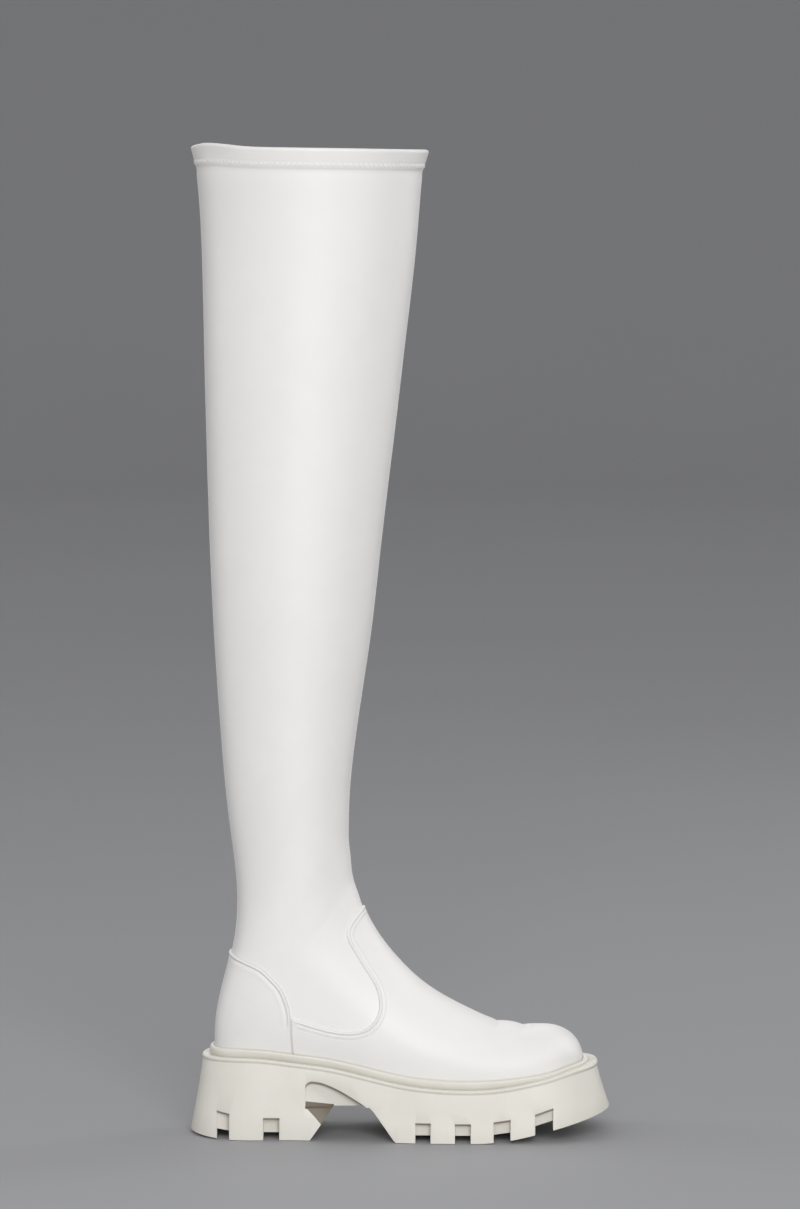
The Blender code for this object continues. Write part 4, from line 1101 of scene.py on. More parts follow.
def rods(name, lines, material, pitch, length, radius, arch, slant=0.0, zigzag=0.0):
    """A piece made of small rods along lines, which are points in millimetres, edges and directions.
    The rods lie across the line by the slant, and every other one the other way if zigzag is 1."""
    points, edges, outs = [], [], []
    for line_points, line_joins, line_outs in lines:
        edges += [(a + len(points), b + len(points)) for a, b in line_joins]
        points += to_frame(line_points).tolist()
        outs += np.asarray(line_outs).tolist()
    mesh = bpy.data.meshes.new(name)
    mesh.from_pydata(points, edges, [])
    store = mesh.attributes.new("out", "FLOAT_VECTOR", "POINT")
    store.data.foreach_set("vector", np.array(outs, np.float32).ravel())
    guide = bpy.data.objects.new(name + "_lines", mesh)
    bpy.context.scene.collection.objects.link(guide)
    repeat = guide.modifiers.new("repeat", "NODES")
    repeat.node_group = rods_along_lines
    sizes = {"Pitch": pitch, "Length": length, "Radius": radius, "Arch": arch}
    sizes.update({"Slant": slant, "Zigzag": zigzag, "Finish": material})
    for item in rods_along_lines.interface.items_tree:
        if item.in_out == "INPUT" and item.name in sizes:
            repeat[item.identifier] = sizes[item.name]
    graph = bpy.context.evaluated_depsgraph_get()
    made = bpy.data.objects.new(name, bpy.data.meshes.new_from_object(guide.evaluated_get(graph)))
    made.data.name = name
    guide.modifiers.remove(repeat)
    bpy.data.objects.remove(guide)
    bpy.context.scene.collection.objects.link(made)
    return made


def chain(points):
    """The edges that join points in turn."""
    return [(i, i + 1) for i in range(len(points) - 1)]


thread = Finish("sewing_thread")
thread_twist = thread.noise(2600.0, 2.0)
thread_fade = thread.noise(40.0, 2.0)
thread_tone = thread.mix(thread_twist, THREAD_COLOUR, toned(THREAD_COLOUR, 0.84))
thread.done(
    base_color=thread_tone, roughness=0.55 + 0.2 * thread_fade, sheen_weight=0.15,
    normal=thread.bump(thread_twist, 0.0001, 0.5),
)

panel_stitches = rods(
    "panel_stitches", [vamp_panel.thread_line(level, vamp_over) for level in VAMP_ROWS],
    thread.material, pitch=0.0027, length=0.0021, radius=0.00024, arch=0.00024,
)


def seam_row(columns, first_row):
    """A row of stitches along a seam, between two columns of the upper, from one of its rows to the hem."""
    hem_foot = LAST_SECTION - HEM_HEIGHT / collar_rise
    pairs = [places[columns] for places in wall.index if first_row < wall.row[places[1]] < hem_foot]
    points = [upper_points[pair].mean(axis=0) for pair in pairs]
    return points, chain(points), [wall.normals[pair].mean(axis=0) for pair in pairs]


ridge = wall.index.shape[1] // 2
seam_lines = [
    seam_row([ridge - 5, ridge - 6], FRONT_STITCH_ROW), seam_row([5, 6], BACK_STITCH_ROW),
    seam_row([ridge + 5, ridge + 6], FRONT_STITCH_ROW), seam_row([-6, -7], BACK_STITCH_ROW),
]
seam_stitches = rods("seam_stitches", seam_lines, thread.material, **SEAM_STITCH, arch=0.00016)
hem_row = int(np.argmin(np.abs(LAST_SECTION - np.array(upper_rows) - HEM_STITCH_DEPTH / collar_rise)))
hem_ring = wall.index[hem_row][:-1]
hem_edges = chain(hem_ring) + [(len(hem_ring) - 1, 0)]
hem_stitches = rods(
    "hem_stitches", [(upper_points[hem_ring], hem_edges, wall.normals[hem_ring])],
    thread.material, pitch=0.0019, length=0.0034, radius=0.00017, arch=0.00016,
    slant=HEM_STITCH_SLANT, zigzag=1.0,
)
for stitches in (panel_stitches, seam_stitches, hem_stitches):
    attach(stitches, "boot")


# Welt
# A thin moulded strip of the sole's own cream rubber, cemented round the foot of the upper and standing
# on the sole inside its rim.
WELT_INNER = 1.5
WELT_PROFILE = (
    (0.0, 0.0), (3.1, 0.0), (3.1, 5.1), (2.95, 5.75), (2.55, 6.3), (1.9, 6.65), (1.2, 6.76), (0.6, 6.7),
    (0.15, 6.5), (0.0, 6.2),
)
RUBBER_CREAM = (0.735, 0.712, 0.65)
RUBBER_WARM = (0.655, 0.62, 0.545)
RUBBER_SPECK = (0.5, 0.46, 0.4)


def feather_line():
    """The feather line from the toe round the lateral side to the heel and back, seen from above, with
    each point's outward direction, and the section line that rises from it."""
    last_foot = len(foot_rows) - 1
    lateral = [wall.index[i][0] for i in range(last_foot + 1)]
    medial = [wall.index[i][-1] for i in range(last_foot - 1, 0, -1)]
    rising = [wall.points[wall.index[i][:len(wall.index[i]) // 2]] for i in range(last_foot + 1)]
    rising += [wall.points[wall.index[i][:len(wall.index[i]) // 2:-1]] for i in range(last_foot - 1, 0, -1)]
    loop = wall.points[lateral + medial]
    along = np.roll(loop, -1, axis=0)[:, :2] - np.roll(loop, 1, axis=0)[:, :2]
    out = np.column_stack([-along[:, 1], along[:, 0]])
    return loop, out / np.linalg.norm(out, axis=1)[:, None], rising


LOOP, LOOP_OUT, LOOP_RISING = feather_line()
LOOP_SEAT = seat_curve(LOOP[:, 0])[:, 0]


def loop_level(out, height):
    """The feather line moved outwards, at a height: each one number or one for each point."""
    out = np.broadcast_to(out, len(LOOP))[:, None]
    height = np.broadcast_to(height, len(LOOP))[:, None]
    return np.hstack([LOOP[:, :2] + LOOP_OUT * out, height])


def wall_lean(up):
    """How far the upper's wall has leant outwards at a height above each point of the feather line."""
    lean = []
    for foot, out, line, rise in zip(LOOP, LOOP_OUT, LOOP_RISING, up):
        moved = (line[:, :2] - foot[:2]) @ out
        lean.append(max(0.0, float(np.interp(foot[2] + rise, line[:, 2], moved))))
    lean = np.array(lean)
    lean[LOOP[:, 0] > TOE_STATION - 0.5] = 0.0
    lean[LOOP[:, 0] < HEEL_STATION + 0.5] = 0.0
    return lean


def bands(levels, closed):
    """Faces between loops of equal length, and from the last to the first if closed."""
    size = len(levels[0])
    pairs = [(k, k + 1) for k in range(len(levels) - 1)] + ([(len(levels) - 1, 0)] if closed else [])
    return [
        (a * size + i, a * size + (i + 1) % size, b * size + (i + 1) % size, b * size + i)
        for a, b in pairs for i in range(size)
    ]


def rubber_finish(name, paint_shade=None, tooling=None):
    """Moulded cream rubber: satin, faintly mottled, with a fine mould texture that runs downwards. The
    second function, when given, adds painted shade to the colour, and tooling its marks to the surface."""
    rubber = Finish(name)
    cloud = rubber.noise(22.0, 4.0)
    speck = rubber.span(rubber.noise(130.0, 4.0, 0.7), 0.66, 0.76)
    drawn = rubber.noise(420.0, 2.0, 0.5, rubber.stretched((1.0, 1.0, 0.12)))
    grain = rubber.noise(1500.0, 2.0)
    colour = rubber.mix(rubber.span(cloud, 0.3, 0.75) * 0.5, RUBBER_CREAM, RUBBER_WARM)
    colour = rubber.mix(speck * 0.16, colour, RUBBER_SPECK)
    normal = rubber.bump(drawn * 0.6 + grain * 0.4, 0.0003, 0.3)
    rubber.done(
        base_color=paint_shade(rubber, colour, cloud) if paint_shade else colour,
        roughness=0.46 + 0.16 * cloud + 0.1 * speck,
        normal=tooling(rubber, normal) if tooling else normal,
        specular_ior_level=0.45, coat_weight=0.04 + 0.05 * grain, coat_roughness=0.45,
    )
    return rubber.material


welt_share = np.interp(LOOP[:, 0], *zip(*WELT_SHARES))
welt_levels = []
for out, up in WELT_PROFILE:
    lean = wall_lean(up * welt_share)
    welt_levels.append(loop_level(WELT_INNER + out + lean, LOOP_SEAT + up * welt_share))
welt = add_piece(
    "welt_strip", to_frame(np.vstack(welt_levels)), bands(welt_levels, True), rubber_finish("welt_rubber"),
)
face_outwards(welt)
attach(welt, "boot")
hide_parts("welt")


# Outsole
# One moulded unit of cream rubber: a flared wall under a rounded rim, an open arch behind the ball of
# the foot, a sloping heel breast with its corners taken off, and lugs with grooves across the tread.
EDGE = (
    (17.9, 9.6, 17.9), (42.0, 9.0, 13.4), (100.0, 8.9, 12.6), (160.0, 8.9, 14.0),
    (215.0, 9.0, 14.8), (250.0, 9.6, 16.8), (270.5, 11.0, 19.5),
)
ROCKER_START, ROCKER_RISE, ROCKER_POWER = 196.0, 19.0, 1.92
HEEL_EASE_START, HEEL_EASE_RISE = 38.0, 2.4
RIM_GROOVE = ((0.0, -2.9), (-0.1, -2.55), (-0.17, -2.1), (-0.12, -1.65), (0.05, -1.25))
RIM_BEAD = ((0.05, -1.25), (0.25, -0.8), (0.35, -0.2), (0.0, 0.6), (-1.4, 1.15), (-3.0, 1.15), (-4.3, 1.0))
ARCH_HEIGHT = 23.2
BREAST_FOOT, BREAST_TOP = 83.0, 99.3
CORNER_TIP_HEIGHT, CORNER_BACK, CORNER_REACH, CORNER_AHEAD = 11.2, 79.5, 1.3, 0.2
FOREPART_TOP, FOREPART_FOOT, FOREPART_EASE = 124.0, 142.0, 3.0
POCKET_BACK, POCKET_DEPTH = 80.0, 9.0
POCKET_EDGE = ((80.0, 37.5), (82.0, 39.6), (86.0, 40.2), (94.0, 38.4), (106.0, 32.9), (121.0, 23.9))
NOTCHES = (
    (23.2, 8.6, 17.0), (56.5, 11.0, 15.0),
    (160.7, 10.4, 13.4), (188.0, 10.8, 13.0), (214.9, 11.6, 13.6), (243.8, 12.4, 13.0),
)
NOTCH_DEPTH, GROOVE_DEPTH, CUT_BEYOND, CUT_REACH = 8.0, 4.4, 15.0, 120.0
SOLE_SOFTNESS = 0.0006
JOIN_WITHIN, SHORT_EDGE, FLAT_WITHIN = 0.00003, 0.0001, math.radians(0.6)
SHARP_OVER = math.radians(40)
# Colours of painted shade: under the sole's overhangs and in its thin shadow lines, and on the heel's breast.
RUBBER_SHADE_COLOUR, BREAST_SHADE_COLOUR = (0.34, 0.285, 0.22), (0.125, 0.094, 0.06)
BREAST_SHADE, CORNER_SHADE_TOP, CORNER_SHADE_FALL = 0.45, 26.2, 0.1
POCKET_TALL = 50.0
RIM_TICK = 1.9

edge_curve = smooth_through([row[0] for row in EDGE], [row[1:] for row in EDGE])
rim_out, tread_out = edge_curve(LOOP[:, 0]).T


def tread_height(station):
    """Height of the tread over the floor: flat, but for the curled toe and the eased heel."""
    curl = np.maximum(0.0, (station - ROCKER_START) / (TOE_STATION - ROCKER_START))
    ease = np.maximum(0.0, (HEEL_EASE_START - station) / (HEEL_EASE_START - HEEL_STATION))
    return ROCKER_RISE * curl ** ROCKER_POWER + HEEL_EASE_RISE * ease ** 2


def loop_cap(first):
    """Faces across a loop, from its lateral to its medial points."""
    size = len(LOOP)
    heel = size // 2
    faces = [(first, first + 1, first + size - 1)]
    for i in range(1, heel - 1):
        faces.append((first + i, first + i + 1, first + size - i - 1, first + size - i))
    return [*faces, (first + heel - 1, first + heel, first + heel + 1)]


def plain_block(name, points, faces):
    """A block to cut, or to cut with, from points counted from the back of the sole."""
    made = add_piece(name, to_frame(points), faces)
    face_outwards(made)
    return made


def prism(name, outline, low_y, high_y):
    """A cutter: an outline of (station, height) points, drawn out across the boot."""
    size = len(outline)
    points = [(s, y, z) for y in (low_y, high_y) for s, z in outline]
    sides = [(i, (i + 1) % size, size + (i + 1) % size, size + i) for i in range(size)]
    return plain_block(name, points, [range(size), range(size, 2 * size), *sides])


def side_wall(station, height, side):
    """Half-width of the sole's side wall at a station and height."""
    at_rim, at_tread = edge_curve(station)[0]
    share = height / (seat_curve(station)[0, 0] + RIM_GROOVE[0][1])
    return feather_curve(station)[0][side] + at_tread + (at_rim - at_tread) * share


def corner_facet(side, sign, inner):
    """The facet on one corner of the breast: its front point, and from there to its back and its tip."""
    tip_station = BREAST_FOOT + (BREAST_TOP - BREAST_FOOT) * CORNER_TIP_HEIGHT / ARCH_HEIGHT
    front = np.array([BREAST_TOP, sign * inner, ARCH_HEIGHT])
    back = (CORNER_BACK, sign * side_wall(CORNER_BACK, ARCH_HEIGHT, side), ARCH_HEIGHT)
    tip = (tip_station, sign * side_wall(tip_station, CORNER_TIP_HEIGHT, side), CORNER_TIP_HEIGHT)
    return front, back - front, tip - front


def corner_cutter(side, sign, inner):
    """What that facet takes off: a wedge that widens out of the sole and runs on into the open waist."""
    front, to_back, to_tip = corner_facet(side, sign, inner)
    ahead = front - CORNER_AHEAD * to_back
    points = [ahead, front + CORNER_REACH * to_back, ahead + CORNER_REACH * to_tip]
    points.append((ahead[0], sign * CUT_REACH, ARCH_HEIGHT))
    faces = [(0, 1, 2), (0, 1, 3), (0, 2, 3), (1, 2, 3)]
    return plain_block("corner_cutter_%d" % side, points, faces)


loop_tread = tread_height(LOOP[:, 0])
loop_wall = LOOP_SEAT + RIM_GROOVE[0][1] - loop_tread
sole_levels = [loop_level(tread_out, loop_tread)]
for share in (0.33, 0.66):
    hollow = -0.5 * math.sin(math.pi * share)
    wall_out = tread_out + (rim_out - tread_out) * share + hollow
    sole_levels.append(loop_level(wall_out, loop_tread + loop_wall * share))
for out, up in [*RIM_GROOVE, *smooth_outline(RIM_BEAD, 3)[1:]]:
    sole_levels.append(loop_level(rim_out + out, LOOP_SEAT + up))
sole_levels.append(loop_level(0.0, LOOP_SEAT - 0.3))
sole_faces = bands(sole_levels, False) + loop_cap(0) + loop_cap((len(sole_levels) - 1) * len(LOOP))
sole_block = plain_block("sole_block", np.vstack(sole_levels), sole_faces)

waist = (
    (BREAST_FOOT, -CUT_BEYOND), (BREAST_FOOT, 0.0), (BREAST_TOP, ARCH_HEIGHT),
    (FOREPART_TOP, ARCH_HEIGHT), (FOREPART_TOP + FOREPART_EASE, ARCH_HEIGHT - FOREPART_EASE),
    (FOREPART_FOOT - FOREPART_EASE / 2, FOREPART_EASE / 2), (FOREPART_FOOT, 0.0),
    (FOREPART_FOOT, -CUT_BEYOND),
)
cutters = [prism("waist_cutter", waist, -CUT_REACH, CUT_REACH)]
pocket = [(POCKET_BACK, ARCH_HEIGHT - 1), *smooth_outline(POCKET_EDGE, 5)]
pocket += [(POCKET_EDGE[-1][0], ARCH_HEIGHT - 1)]
pocket_middle = (POCKET_BACK + POCKET_EDGE[-1][0]) / 2
pocket_widths = feather_curve(pocket_middle)[0] + edge_curve(pocket_middle)[0, 1] - POCKET_DEPTH
tread_line = sole_levels[0]
half_loop = len(LOOP) // 2
tread_sides = (tread_line[:half_loop + 1][::-1], np.vstack([tread_line[half_loop:], tread_line[:1]]))
for side, sign in ((0, -1.0), (1, 1.0)):
    cutters.append(prism("pocket_cutter_%d" % side, pocket, sign * pocket_widths[side], sign * CUT_REACH))
    cutters.append(corner_cutter(side, sign, pocket_widths[side]))
for i, (station, width, top_height) in enumerate(NOTCHES):
    left, right = station - width / 2, station + width / 2
    ground, rise = tread_height(station), (tread_height(right) - tread_height(left)) / 2
    foot = [(left, -CUT_BEYOND), (right, -CUT_BEYOND)]
    groove = [*foot, (right, ground + GROOVE_DEPTH + rise), (left, ground + GROOVE_DEPTH - rise)]
    notch = [*foot, (right, ground + top_height + rise), (left, ground + top_height - rise)]
    cutters.append(prism("groove_cutter_%d" % i, groove, -CUT_REACH, CUT_REACH))
    for side, sign in ((0, -1.0), (1, 1.0)):
        reach = abs(np.interp(station, tread_sides[side][:, 0], tread_sides[side][:, 1])) - NOTCH_DEPTH
        cutters.append(prism("notch_cutter_%d_%d" % (i, side), notch, sign * reach, sign * CUT_REACH))
cutter_group = bpy.data.collections.new("sole_cutters")
for cutter in cutters:
    cutter_group.objects.link(cutter)
cut = sole_block.modifiers.new("cut", "BOOLEAN")
cut.operation, cut.solver = "DIFFERENCE", "EXACT"
cut.operand_type, cut.collection = "COLLECTION", cutter_group


def settled(piece):
    """A plain mesh of a piece as its modifiers leave it."""
    graph = bpy.context.evaluated_depsgraph_get()
    return bpy.data.meshes.new_from_object(piece.evaluated_get(graph))


def soften_edges(name, mesh, width, material, angle=38.0):
    """A piece from a mesh, its flat faces joined and its hard edges rounded."""
    shape = bmesh.new()
    shape.from_mesh(mesh)
    bmesh.ops.remove_doubles(shape, verts=shape.verts, dist=JOIN_WITHIN)
    bmesh.ops.dissolve_degenerate(shape, dist=SHORT_EDGE, edges=shape.edges)
    bmesh.ops.dissolve_limit(shape, angle_limit=FLAT_WITHIN, verts=shape.verts, edges=shape.edges)
    shape.to_mesh(mesh)
    shape.free()
    rough = bpy.data.objects.new(name + "_rough", mesh)
    bpy.context.scene.collection.objects.link(rough)
    bevel = rough.modifiers.new("soft", "BEVEL")
    bevel.width, bevel.segments, bevel.limit_method = width, 2, "ANGLE"
    bevel.angle_limit = math.radians(angle)
    bevel.use_clamp_overlap = True
    made = bpy.data.objects.new(name, settled(rough))
    made.data.name = name
    bpy.data.objects.remove(rough)
    made.data.materials.clear()
    made.data.materials.append(material)
    made.data.shade_smooth()
    made.data.set_sharp_from_angle(angle=SHARP_OVER)
    bpy.context.scene.collection.objects.link(made)
    return made


def sole_painted_shade(rubber, colour, cloud):
    """Painted shade: under the overhangs, on the heel's breast and the facets at its corners, and as thin
    shadow lines in the corners of the notches and along the arcs of the pockets."""
    forward, _, up = rubber.axes(rubber.node("ShaderNodeNewGeometry", {}, {}, "Normal"))
    sizes = {"Location": (HALF_SOLE, 0.0, 0.0), "Scale": (1000.0, 1000.0, 1000.0)}
    places = rubber.node("ShaderNodeMapping", {}, {"Vector": rubber.place(), **sizes})
    station, across, height = rubber.axes(places)
    # Painted shade on faces that look down, above the floor.
    under = rubber.span(up, -0.25, -0.75) * rubber.span(height, 4.0, 10.0)
    breast = rubber.span(station, 78.5, 80.5) * rubber.span(station, 104.0, 102.0)
    breast = breast * rubber.span(forward, 0.5, 0.65) * rubber.span(height, 24.5, 22.5) * BREAST_SHADE
    for side, sign in ((0, -1.0), (1, 1.0)):
        front, *edges = corner_facet(side, sign, pocket_widths[side])
        slope = np.cross(*edges) / np.linalg.norm(np.cross(*edges))
        off = station * float(slope[0]) + across * float(slope[1]) + height * float(slope[2])
        facet = rubber.span(abs(off - float(slope @ front)), 0.45, 0.25)
        facet = facet * rubber.span(height, ARCH_HEIGHT + 0.8, ARCH_HEIGHT + 0.2)
        deep = abs(across - float(front[1]))
        upper_edge = CORNER_SHADE_TOP - (station - CORNER_BACK) * CORNER_SHADE_FALL - height
        wall_foot = rubber.span(deep, 0.8, 0.4) * rubber.span(upper_edge, -0.2, 0.2)
        ledge = rubber.span(abs(height - (ARCH_HEIGHT - 1)), 0.7, 0.5)
        ledge = ledge * rubber.span(deep, POCKET_DEPTH - 0.4, POCKET_DEPTH - 0.8)
        within = rubber.span(station, CORNER_BACK, CORNER_BACK + 0.6)
        within = within * rubber.span(station, BREAST_TOP + 0.5, BREAST_TOP - 0.1)
        within = within * rubber.span(height, CORNER_TIP_HEIGHT - 0.7, CORNER_TIP_HEIGHT)
        breast = breast + within * (facet + wall_foot + ledge)
    colour = rubber.mix(under * (0.45 + 0.3 * cloud), colour, RUBBER_SHADE_COLOUR)
    colour = rubber.mix(breast * (0.9 + 0.1 * cloud), colour, BREAST_SHADE_COLOUR)
    # Thin painted shadow lines along the tops and sides of the notches and along the pocket arcs.
    line = 0.0
    for middle, width, top_height in NOTCHES:
        half, side_height = width / 2, top_height - GROOVE_DEPTH
        low, high = tread_height(middle - half), tread_height(middle + half)
        along = station - middle
        below = float(tread_height(middle)) + top_height + along * float((high - low) / width) - height
        under_top = rubber.span(below, -0.45, -0.2)
        at_top = under_top * rubber.span(below, 2.1, 1.8)
        at_side = rubber.span(along, half - 0.3, half) * under_top
        at_side = at_side * rubber.span(below, side_height, side_height - 2.0)
        within = rubber.span(along, -half - 0.2, -half) * rubber.span(along, half + 0.4, half + 0.2)
        line = line + within * at_top.math("MAXIMUM", at_top, at_side * 0.4)
    (first, _), (last, _) = POCKET_EDGE[0], POCKET_EDGE[-1]
    arc = [((s - first) / (last - first), z / POCKET_TALL) for s, z in smooth_outline(POCKET_EDGE, 2)]
    below = rubber.curve((station - first) * (1 / (last - first)), arc) * POCKET_TALL - height
    at_arc = rubber.span(below, -0.5, -0.2) * rubber.span(below, 2.5, 2.1)
    line = line + at_arc * rubber.span(station, first - 0.3, first) * rubber.span(station, last + 1.0, last)
    return rubber.mix(line * (0.6 + 0.2 * cloud), colour, RUBBER_SHADE_COLOUR)


def rim_ticks(rubber, normal):
    """Fine nicks across the rim's bead."""
    turns = rubber.attribute("along") * (2 * math.pi / RIM_TICK)
    tick = rubber.node("ShaderNodeMath", {"operation": "SINE"}, {0: turns})
    tick = rubber.span(tick, 0.4, 0.95, 0.0, -1.0) * rubber.span(rubber.attribute("bead"), 0.35, 0.8)
    return rubber.bump(tick, 0.0002, 0.5, normal)


sole_rubber = rubber_finish("sole_rubber", sole_painted_shade, rim_ticks)
outsole = soften_edges("outsole_unit", settled(sole_block), SOLE_SOFTNESS, sole_rubber)
sole_places = np.array([v.co for v in outsole.data.vertices]) * 1000.0 + (HALF_SOLE, 0.0, 0.0)
loop_run = np.concatenate([[0], np.cumsum(np.linalg.norm(np.diff(LOOP[:, :2], axis=0), axis=1))])
rim_line = LOOP[:, :2] + LOOP_OUT * rim_out[:, None]
nearest = np.argmin(((sole_places[:, None, :2] - rim_line) ** 2).sum(axis=2), axis=1)
mark_points(outsole, "along", loop_run[nearest])
over_seat = sole_places[:, 2] - LOOP_SEAT[nearest]
mark_points(outsole, "bead", eased(over_seat, -1.3, -0.4) * (1 - eased(over_seat, 1.5, 2.0)))
for cutter in cutters + [sole_block]:
    bpy.data.objects.remove(cutter)
bpy.data.collections.remove(cutter_group)
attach(outsole, "boot")
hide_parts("outsole")


# Insole
# A fibre board covered in beige woven cloth, cut to the last's bottom and laid in the foot. Only its top
# is seen, from above through the shaft, so the solid itself is shown with a cloth finish.
INSOLE_BEIGE, INSOLE_WORN = (0.62, 0.58, 0.52), (0.5, 0.46, 0.4)

insole_cloth = Finish("insole_cloth")
insole_weave = insole_cloth.cells(700.0)
insole_worn = insole_cloth.noise(30.0, 3.0)
insole_tone = insole_cloth.mix(insole_worn * 0.7, INSOLE_BEIGE, INSOLE_WORN)
insole_cloth.done(
    base_color=insole_tone, roughness=0.8 + 0.12 * insole_weave,
    normal=insole_cloth.bump(insole_weave, 0.0003, 0.6),
)
frame["nodes"]["insole"].data.materials.clear()
frame["nodes"]["insole"].data.materials.append(insole_cloth.material)


# Zip
# A white nylon coil zip on the inner side, from the quarter to mid-calf: woven tape, a coil of teeth,
# and the shaft's leather turned under on both sides of it and sewn down.
ZIP_FOOT, ZIP_HEAD = (82.0, 86.0), (71.5, 372.0)
STRIP_ROWS, ZIP_ROW_POINTS = 97, 140
NYLON_WHITE = (0.82, 0.812, 0.79)
TAPE_WHITE, TAPE_SHADE = (0.8, 0.79, 0.765), (0.66, 0.645, 0.61)
TAPE_PROFILE = ((-6.5, -0.4), (6.5, -0.4), (6.5, 0.35), (2.9, 0.6), (-2.9, 0.6), (-6.5, 0.35))
LIP_PROFILE = (
    (3.3, -0.3), (3.15, 0.7), (3.35, 1.3), (3.9, 1.72), (4.7, 1.8), (5.5, 1.6), (6.2, 1.22), (6.7, 1.2),
    (7.3, 1.25), (8.3, 0.9), (9.4, 0.35), (10.2, -0.3),
)
TOOTH = {"pitch": 0.00125, "length": 0.0031, "radius": 0.0004, "arch": 0.0005}
TOOTH_ACROSS, TOOTH_OUT, TOOTH_SHIFT, TOOTH_SLANT = 1.25, 0.75, 0.3, 9.0
LIP_STITCH_ACROSS, LIP_STITCH_OUT = 6.6, 1.22

wall_tree = BVHTree.FromPolygons(wall.points.tolist(), wall.triangles.tolist())


def on_inner_side(station, height):
    """The point of the upper's inner side at a station and height, and its outward direction."""
    hit, _, number, _ = wall_tree.ray_cast(Vector((station, 300.0, height)), Vector((0.0, -1.0, 0.0)))
    corners = wall.triangles[number]
    a, b, c = wall.points[corners]
    system = np.column_stack([a - c, b - c])
    share = np.linalg.lstsq(system, np.array(hit) - c, rcond=None)[0]
    out = wall.normals[corners].T @ np.array([share[0], share[1], 1 - share.sum()])
    return np.array(hit), out / np.linalg.norm(out)


def zip_station(height):
    share = (height - ZIP_FOOT[1]) / (ZIP_HEAD[1] - ZIP_FOOT[1])
    return ZIP_FOOT[0] + (ZIP_HEAD[0] - ZIP_FOOT[0]) * share


def strip(name, profile, low, high, material, sign=1.0):
    """A strip beside the zip's line, with a profile of (across, out) points and closed ends."""
    points = []
    for height in np.linspace(low, high, STRIP_ROWS):
        for across, out in profile:
            place, facing = on_inner_side(zip_station(height) + sign * across, height)
            points.append(place + facing * out)
    size = len(profile)
    levels = [points[k * size:(k + 1) * size] for k in range(STRIP_ROWS)]
    faces = [*bands(levels, False), range(size), range(len(points) - size, len(points))]
    made = add_piece(name, to_frame(points), faces, material)
    face_outwards(made)
    made.data.set_sharp_from_angle(angle=math.radians(50))
    return made


nylon = Finish("nylon_coil")
nylon_wear = nylon.noise(60.0, 2.0)
nylon_tone = nylon.mix(nylon_wear, NYLON_WHITE, toned(NYLON_WHITE, 0.9))
nylon.done(base_color=nylon_tone, roughness=0.38 + 0.2 * nylon_wear)
tape_weave = Finish("woven_tape")
tape_sockets = {"Scale": 260.0, "Vector": tape_weave.place()}
tape_rows = tape_weave.node("ShaderNodeTexWave", {"bands_direction": "Z"}, tape_sockets, 1)
tape_yarn = tape_weave.noise(1200.0, 2.0)
tape_tone = tape_weave.mix(tape_rows * 0.6 + tape_yarn * 0.4, TAPE_WHITE, TAPE_SHADE)
tape_weave.done(
    base_color=tape_tone, roughness=0.78 + 0.12 * tape_yarn,
    normal=tape_weave.bump(tape_rows + tape_yarn * 0.4, 0.0002, 0.6),
)

zip_tape = strip("zip_tape", TAPE_PROFILE, ZIP_FOOT[1] - 4, ZIP_HEAD[1] + 4, tape_weave.material)
zip_lips = [
    strip("zip_lip_%s" % word, LIP_PROFILE, ZIP_FOOT[1] - 3, ZIP_HEAD[1] + 6, upper_leather, sign)
    for word, sign in (("front", 1.0), ("back", -1.0))
]


def zip_row(across, out, low, high):
    """A line beside the zip's own line: points, edges and outward directions."""
    heights = np.linspace(low, high, ZIP_ROW_POINTS)
    places = [on_inner_side(zip_station(height) + across, height) for height in heights]
    points = [place + facing * out for place, facing in places]
    return points, chain(points), [facing for _, facing in places]


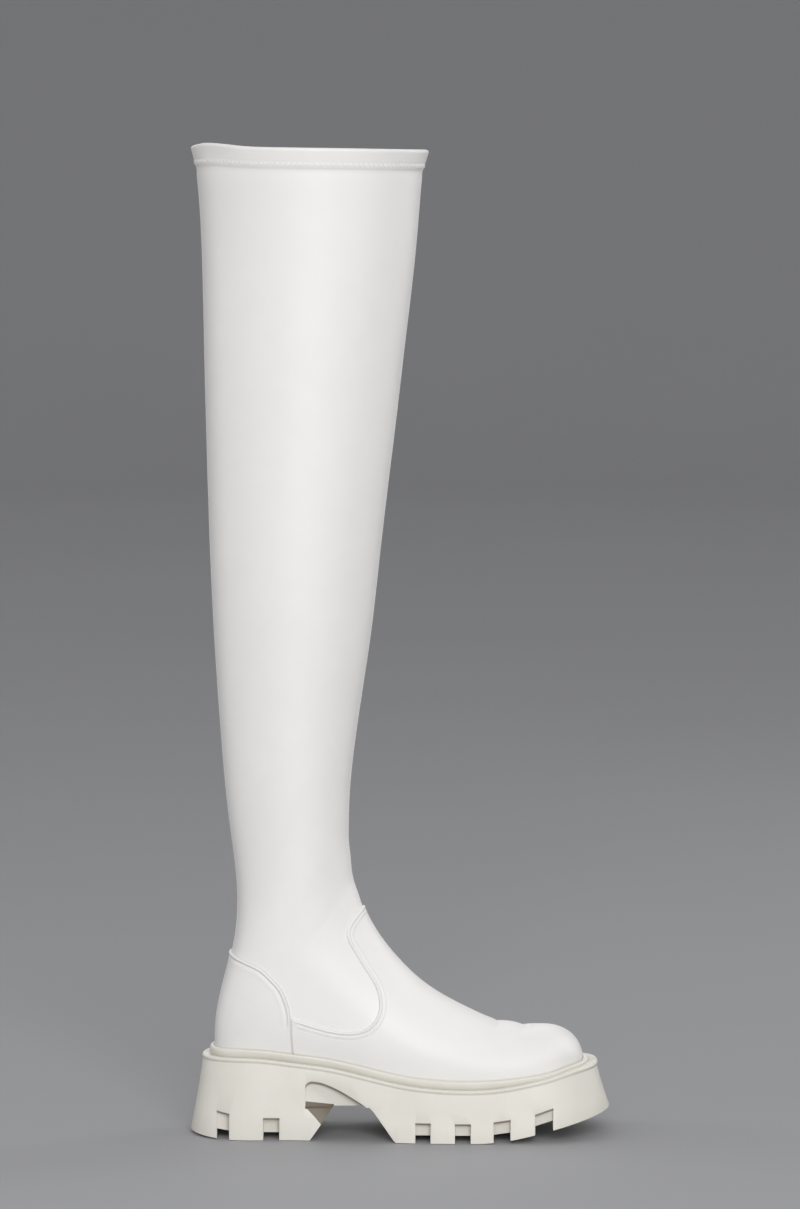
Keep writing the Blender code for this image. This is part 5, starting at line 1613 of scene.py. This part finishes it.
coil_sides = []
for sign in (-1.0, 1.0):
    shift, slant = TOOTH_SHIFT * sign, math.radians(90 + TOOTH_SLANT * sign)
    side_line = zip_row(sign * TOOTH_ACROSS, TOOTH_OUT, ZIP_FOOT[1] + shift, ZIP_HEAD[1] + shift)
    coil_sides.append(rods("coil_side", [side_line], nylon.material, **TOOTH, slant=slant))
coil_shape = bmesh.new()
for coil_side in coil_sides:
    coil_shape.from_mesh(coil_side.data)
coil_shape.to_mesh(coil_sides[0].data)
coil_shape.free()
bpy.data.objects.remove(coil_sides[1])
zip_coil = coil_sides[0]
zip_coil.name = zip_coil.data.name = "zip_coil"
lip_rows = [
    zip_row(across, LIP_STITCH_OUT, ZIP_FOOT[1] + 1, ZIP_HEAD[1] + 3)
    for across in (-LIP_STITCH_ACROSS, LIP_STITCH_ACROSS)
]
zip_stitches = rods("zip_stitches", lip_rows, thread.material, **SEAM_STITCH, arch=0.00018)
for piece in (zip_tape, *zip_lips, zip_coil, zip_stitches):
    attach(piece, "boot")
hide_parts("zip_chain")


# Slider and pull
# Die-cast and silver-plated: a waisted slider with a bail, and a flat tab that swings from it. Their
# edges are tumbled round before plating.
METAL_COLOUR = (0.74, 0.73, 0.71)
METAL_SOFTNESS, METAL_ANGLE = 0.00035, 30.0
CASTINGS = (("zip_slider", "slider_body", "boot"), ("zip_pull", "pull_tab", "zip_pull"))

silver = Finish("silver_plate")
silver_cloud = silver.noise(300.0, 3.0)
silver_scratch = silver.noise(2400.0, 2.0, 0.5, silver.stretched((1.0, 1.0, 0.05)))
silver_tone = silver.mix(silver_cloud, METAL_COLOUR, toned(METAL_COLOUR, 0.86))
silver.done(
    base_color=silver_tone, metallic=1.0, roughness=0.16 + 0.16 * silver_cloud,
    normal=silver.bump(silver_scratch, 0.00005, 0.4),
)
for node_name, piece_name, body in CASTINGS:
    raw = frame["nodes"][node_name].data.copy()
    cast = soften_edges(piece_name, raw, METAL_SOFTNESS, silver.material, METAL_ANGLE)
    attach(cast, body)
    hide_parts(node_name)


# Finishing
# The light behind falls on all pieces of the boot and on nothing else. The box round the dressed boot is
# found.
for piece in bpy.context.scene.objects:
    if piece.type == "MESH" and piece != floor:
        back_lit.objects.link(piece)
low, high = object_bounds()
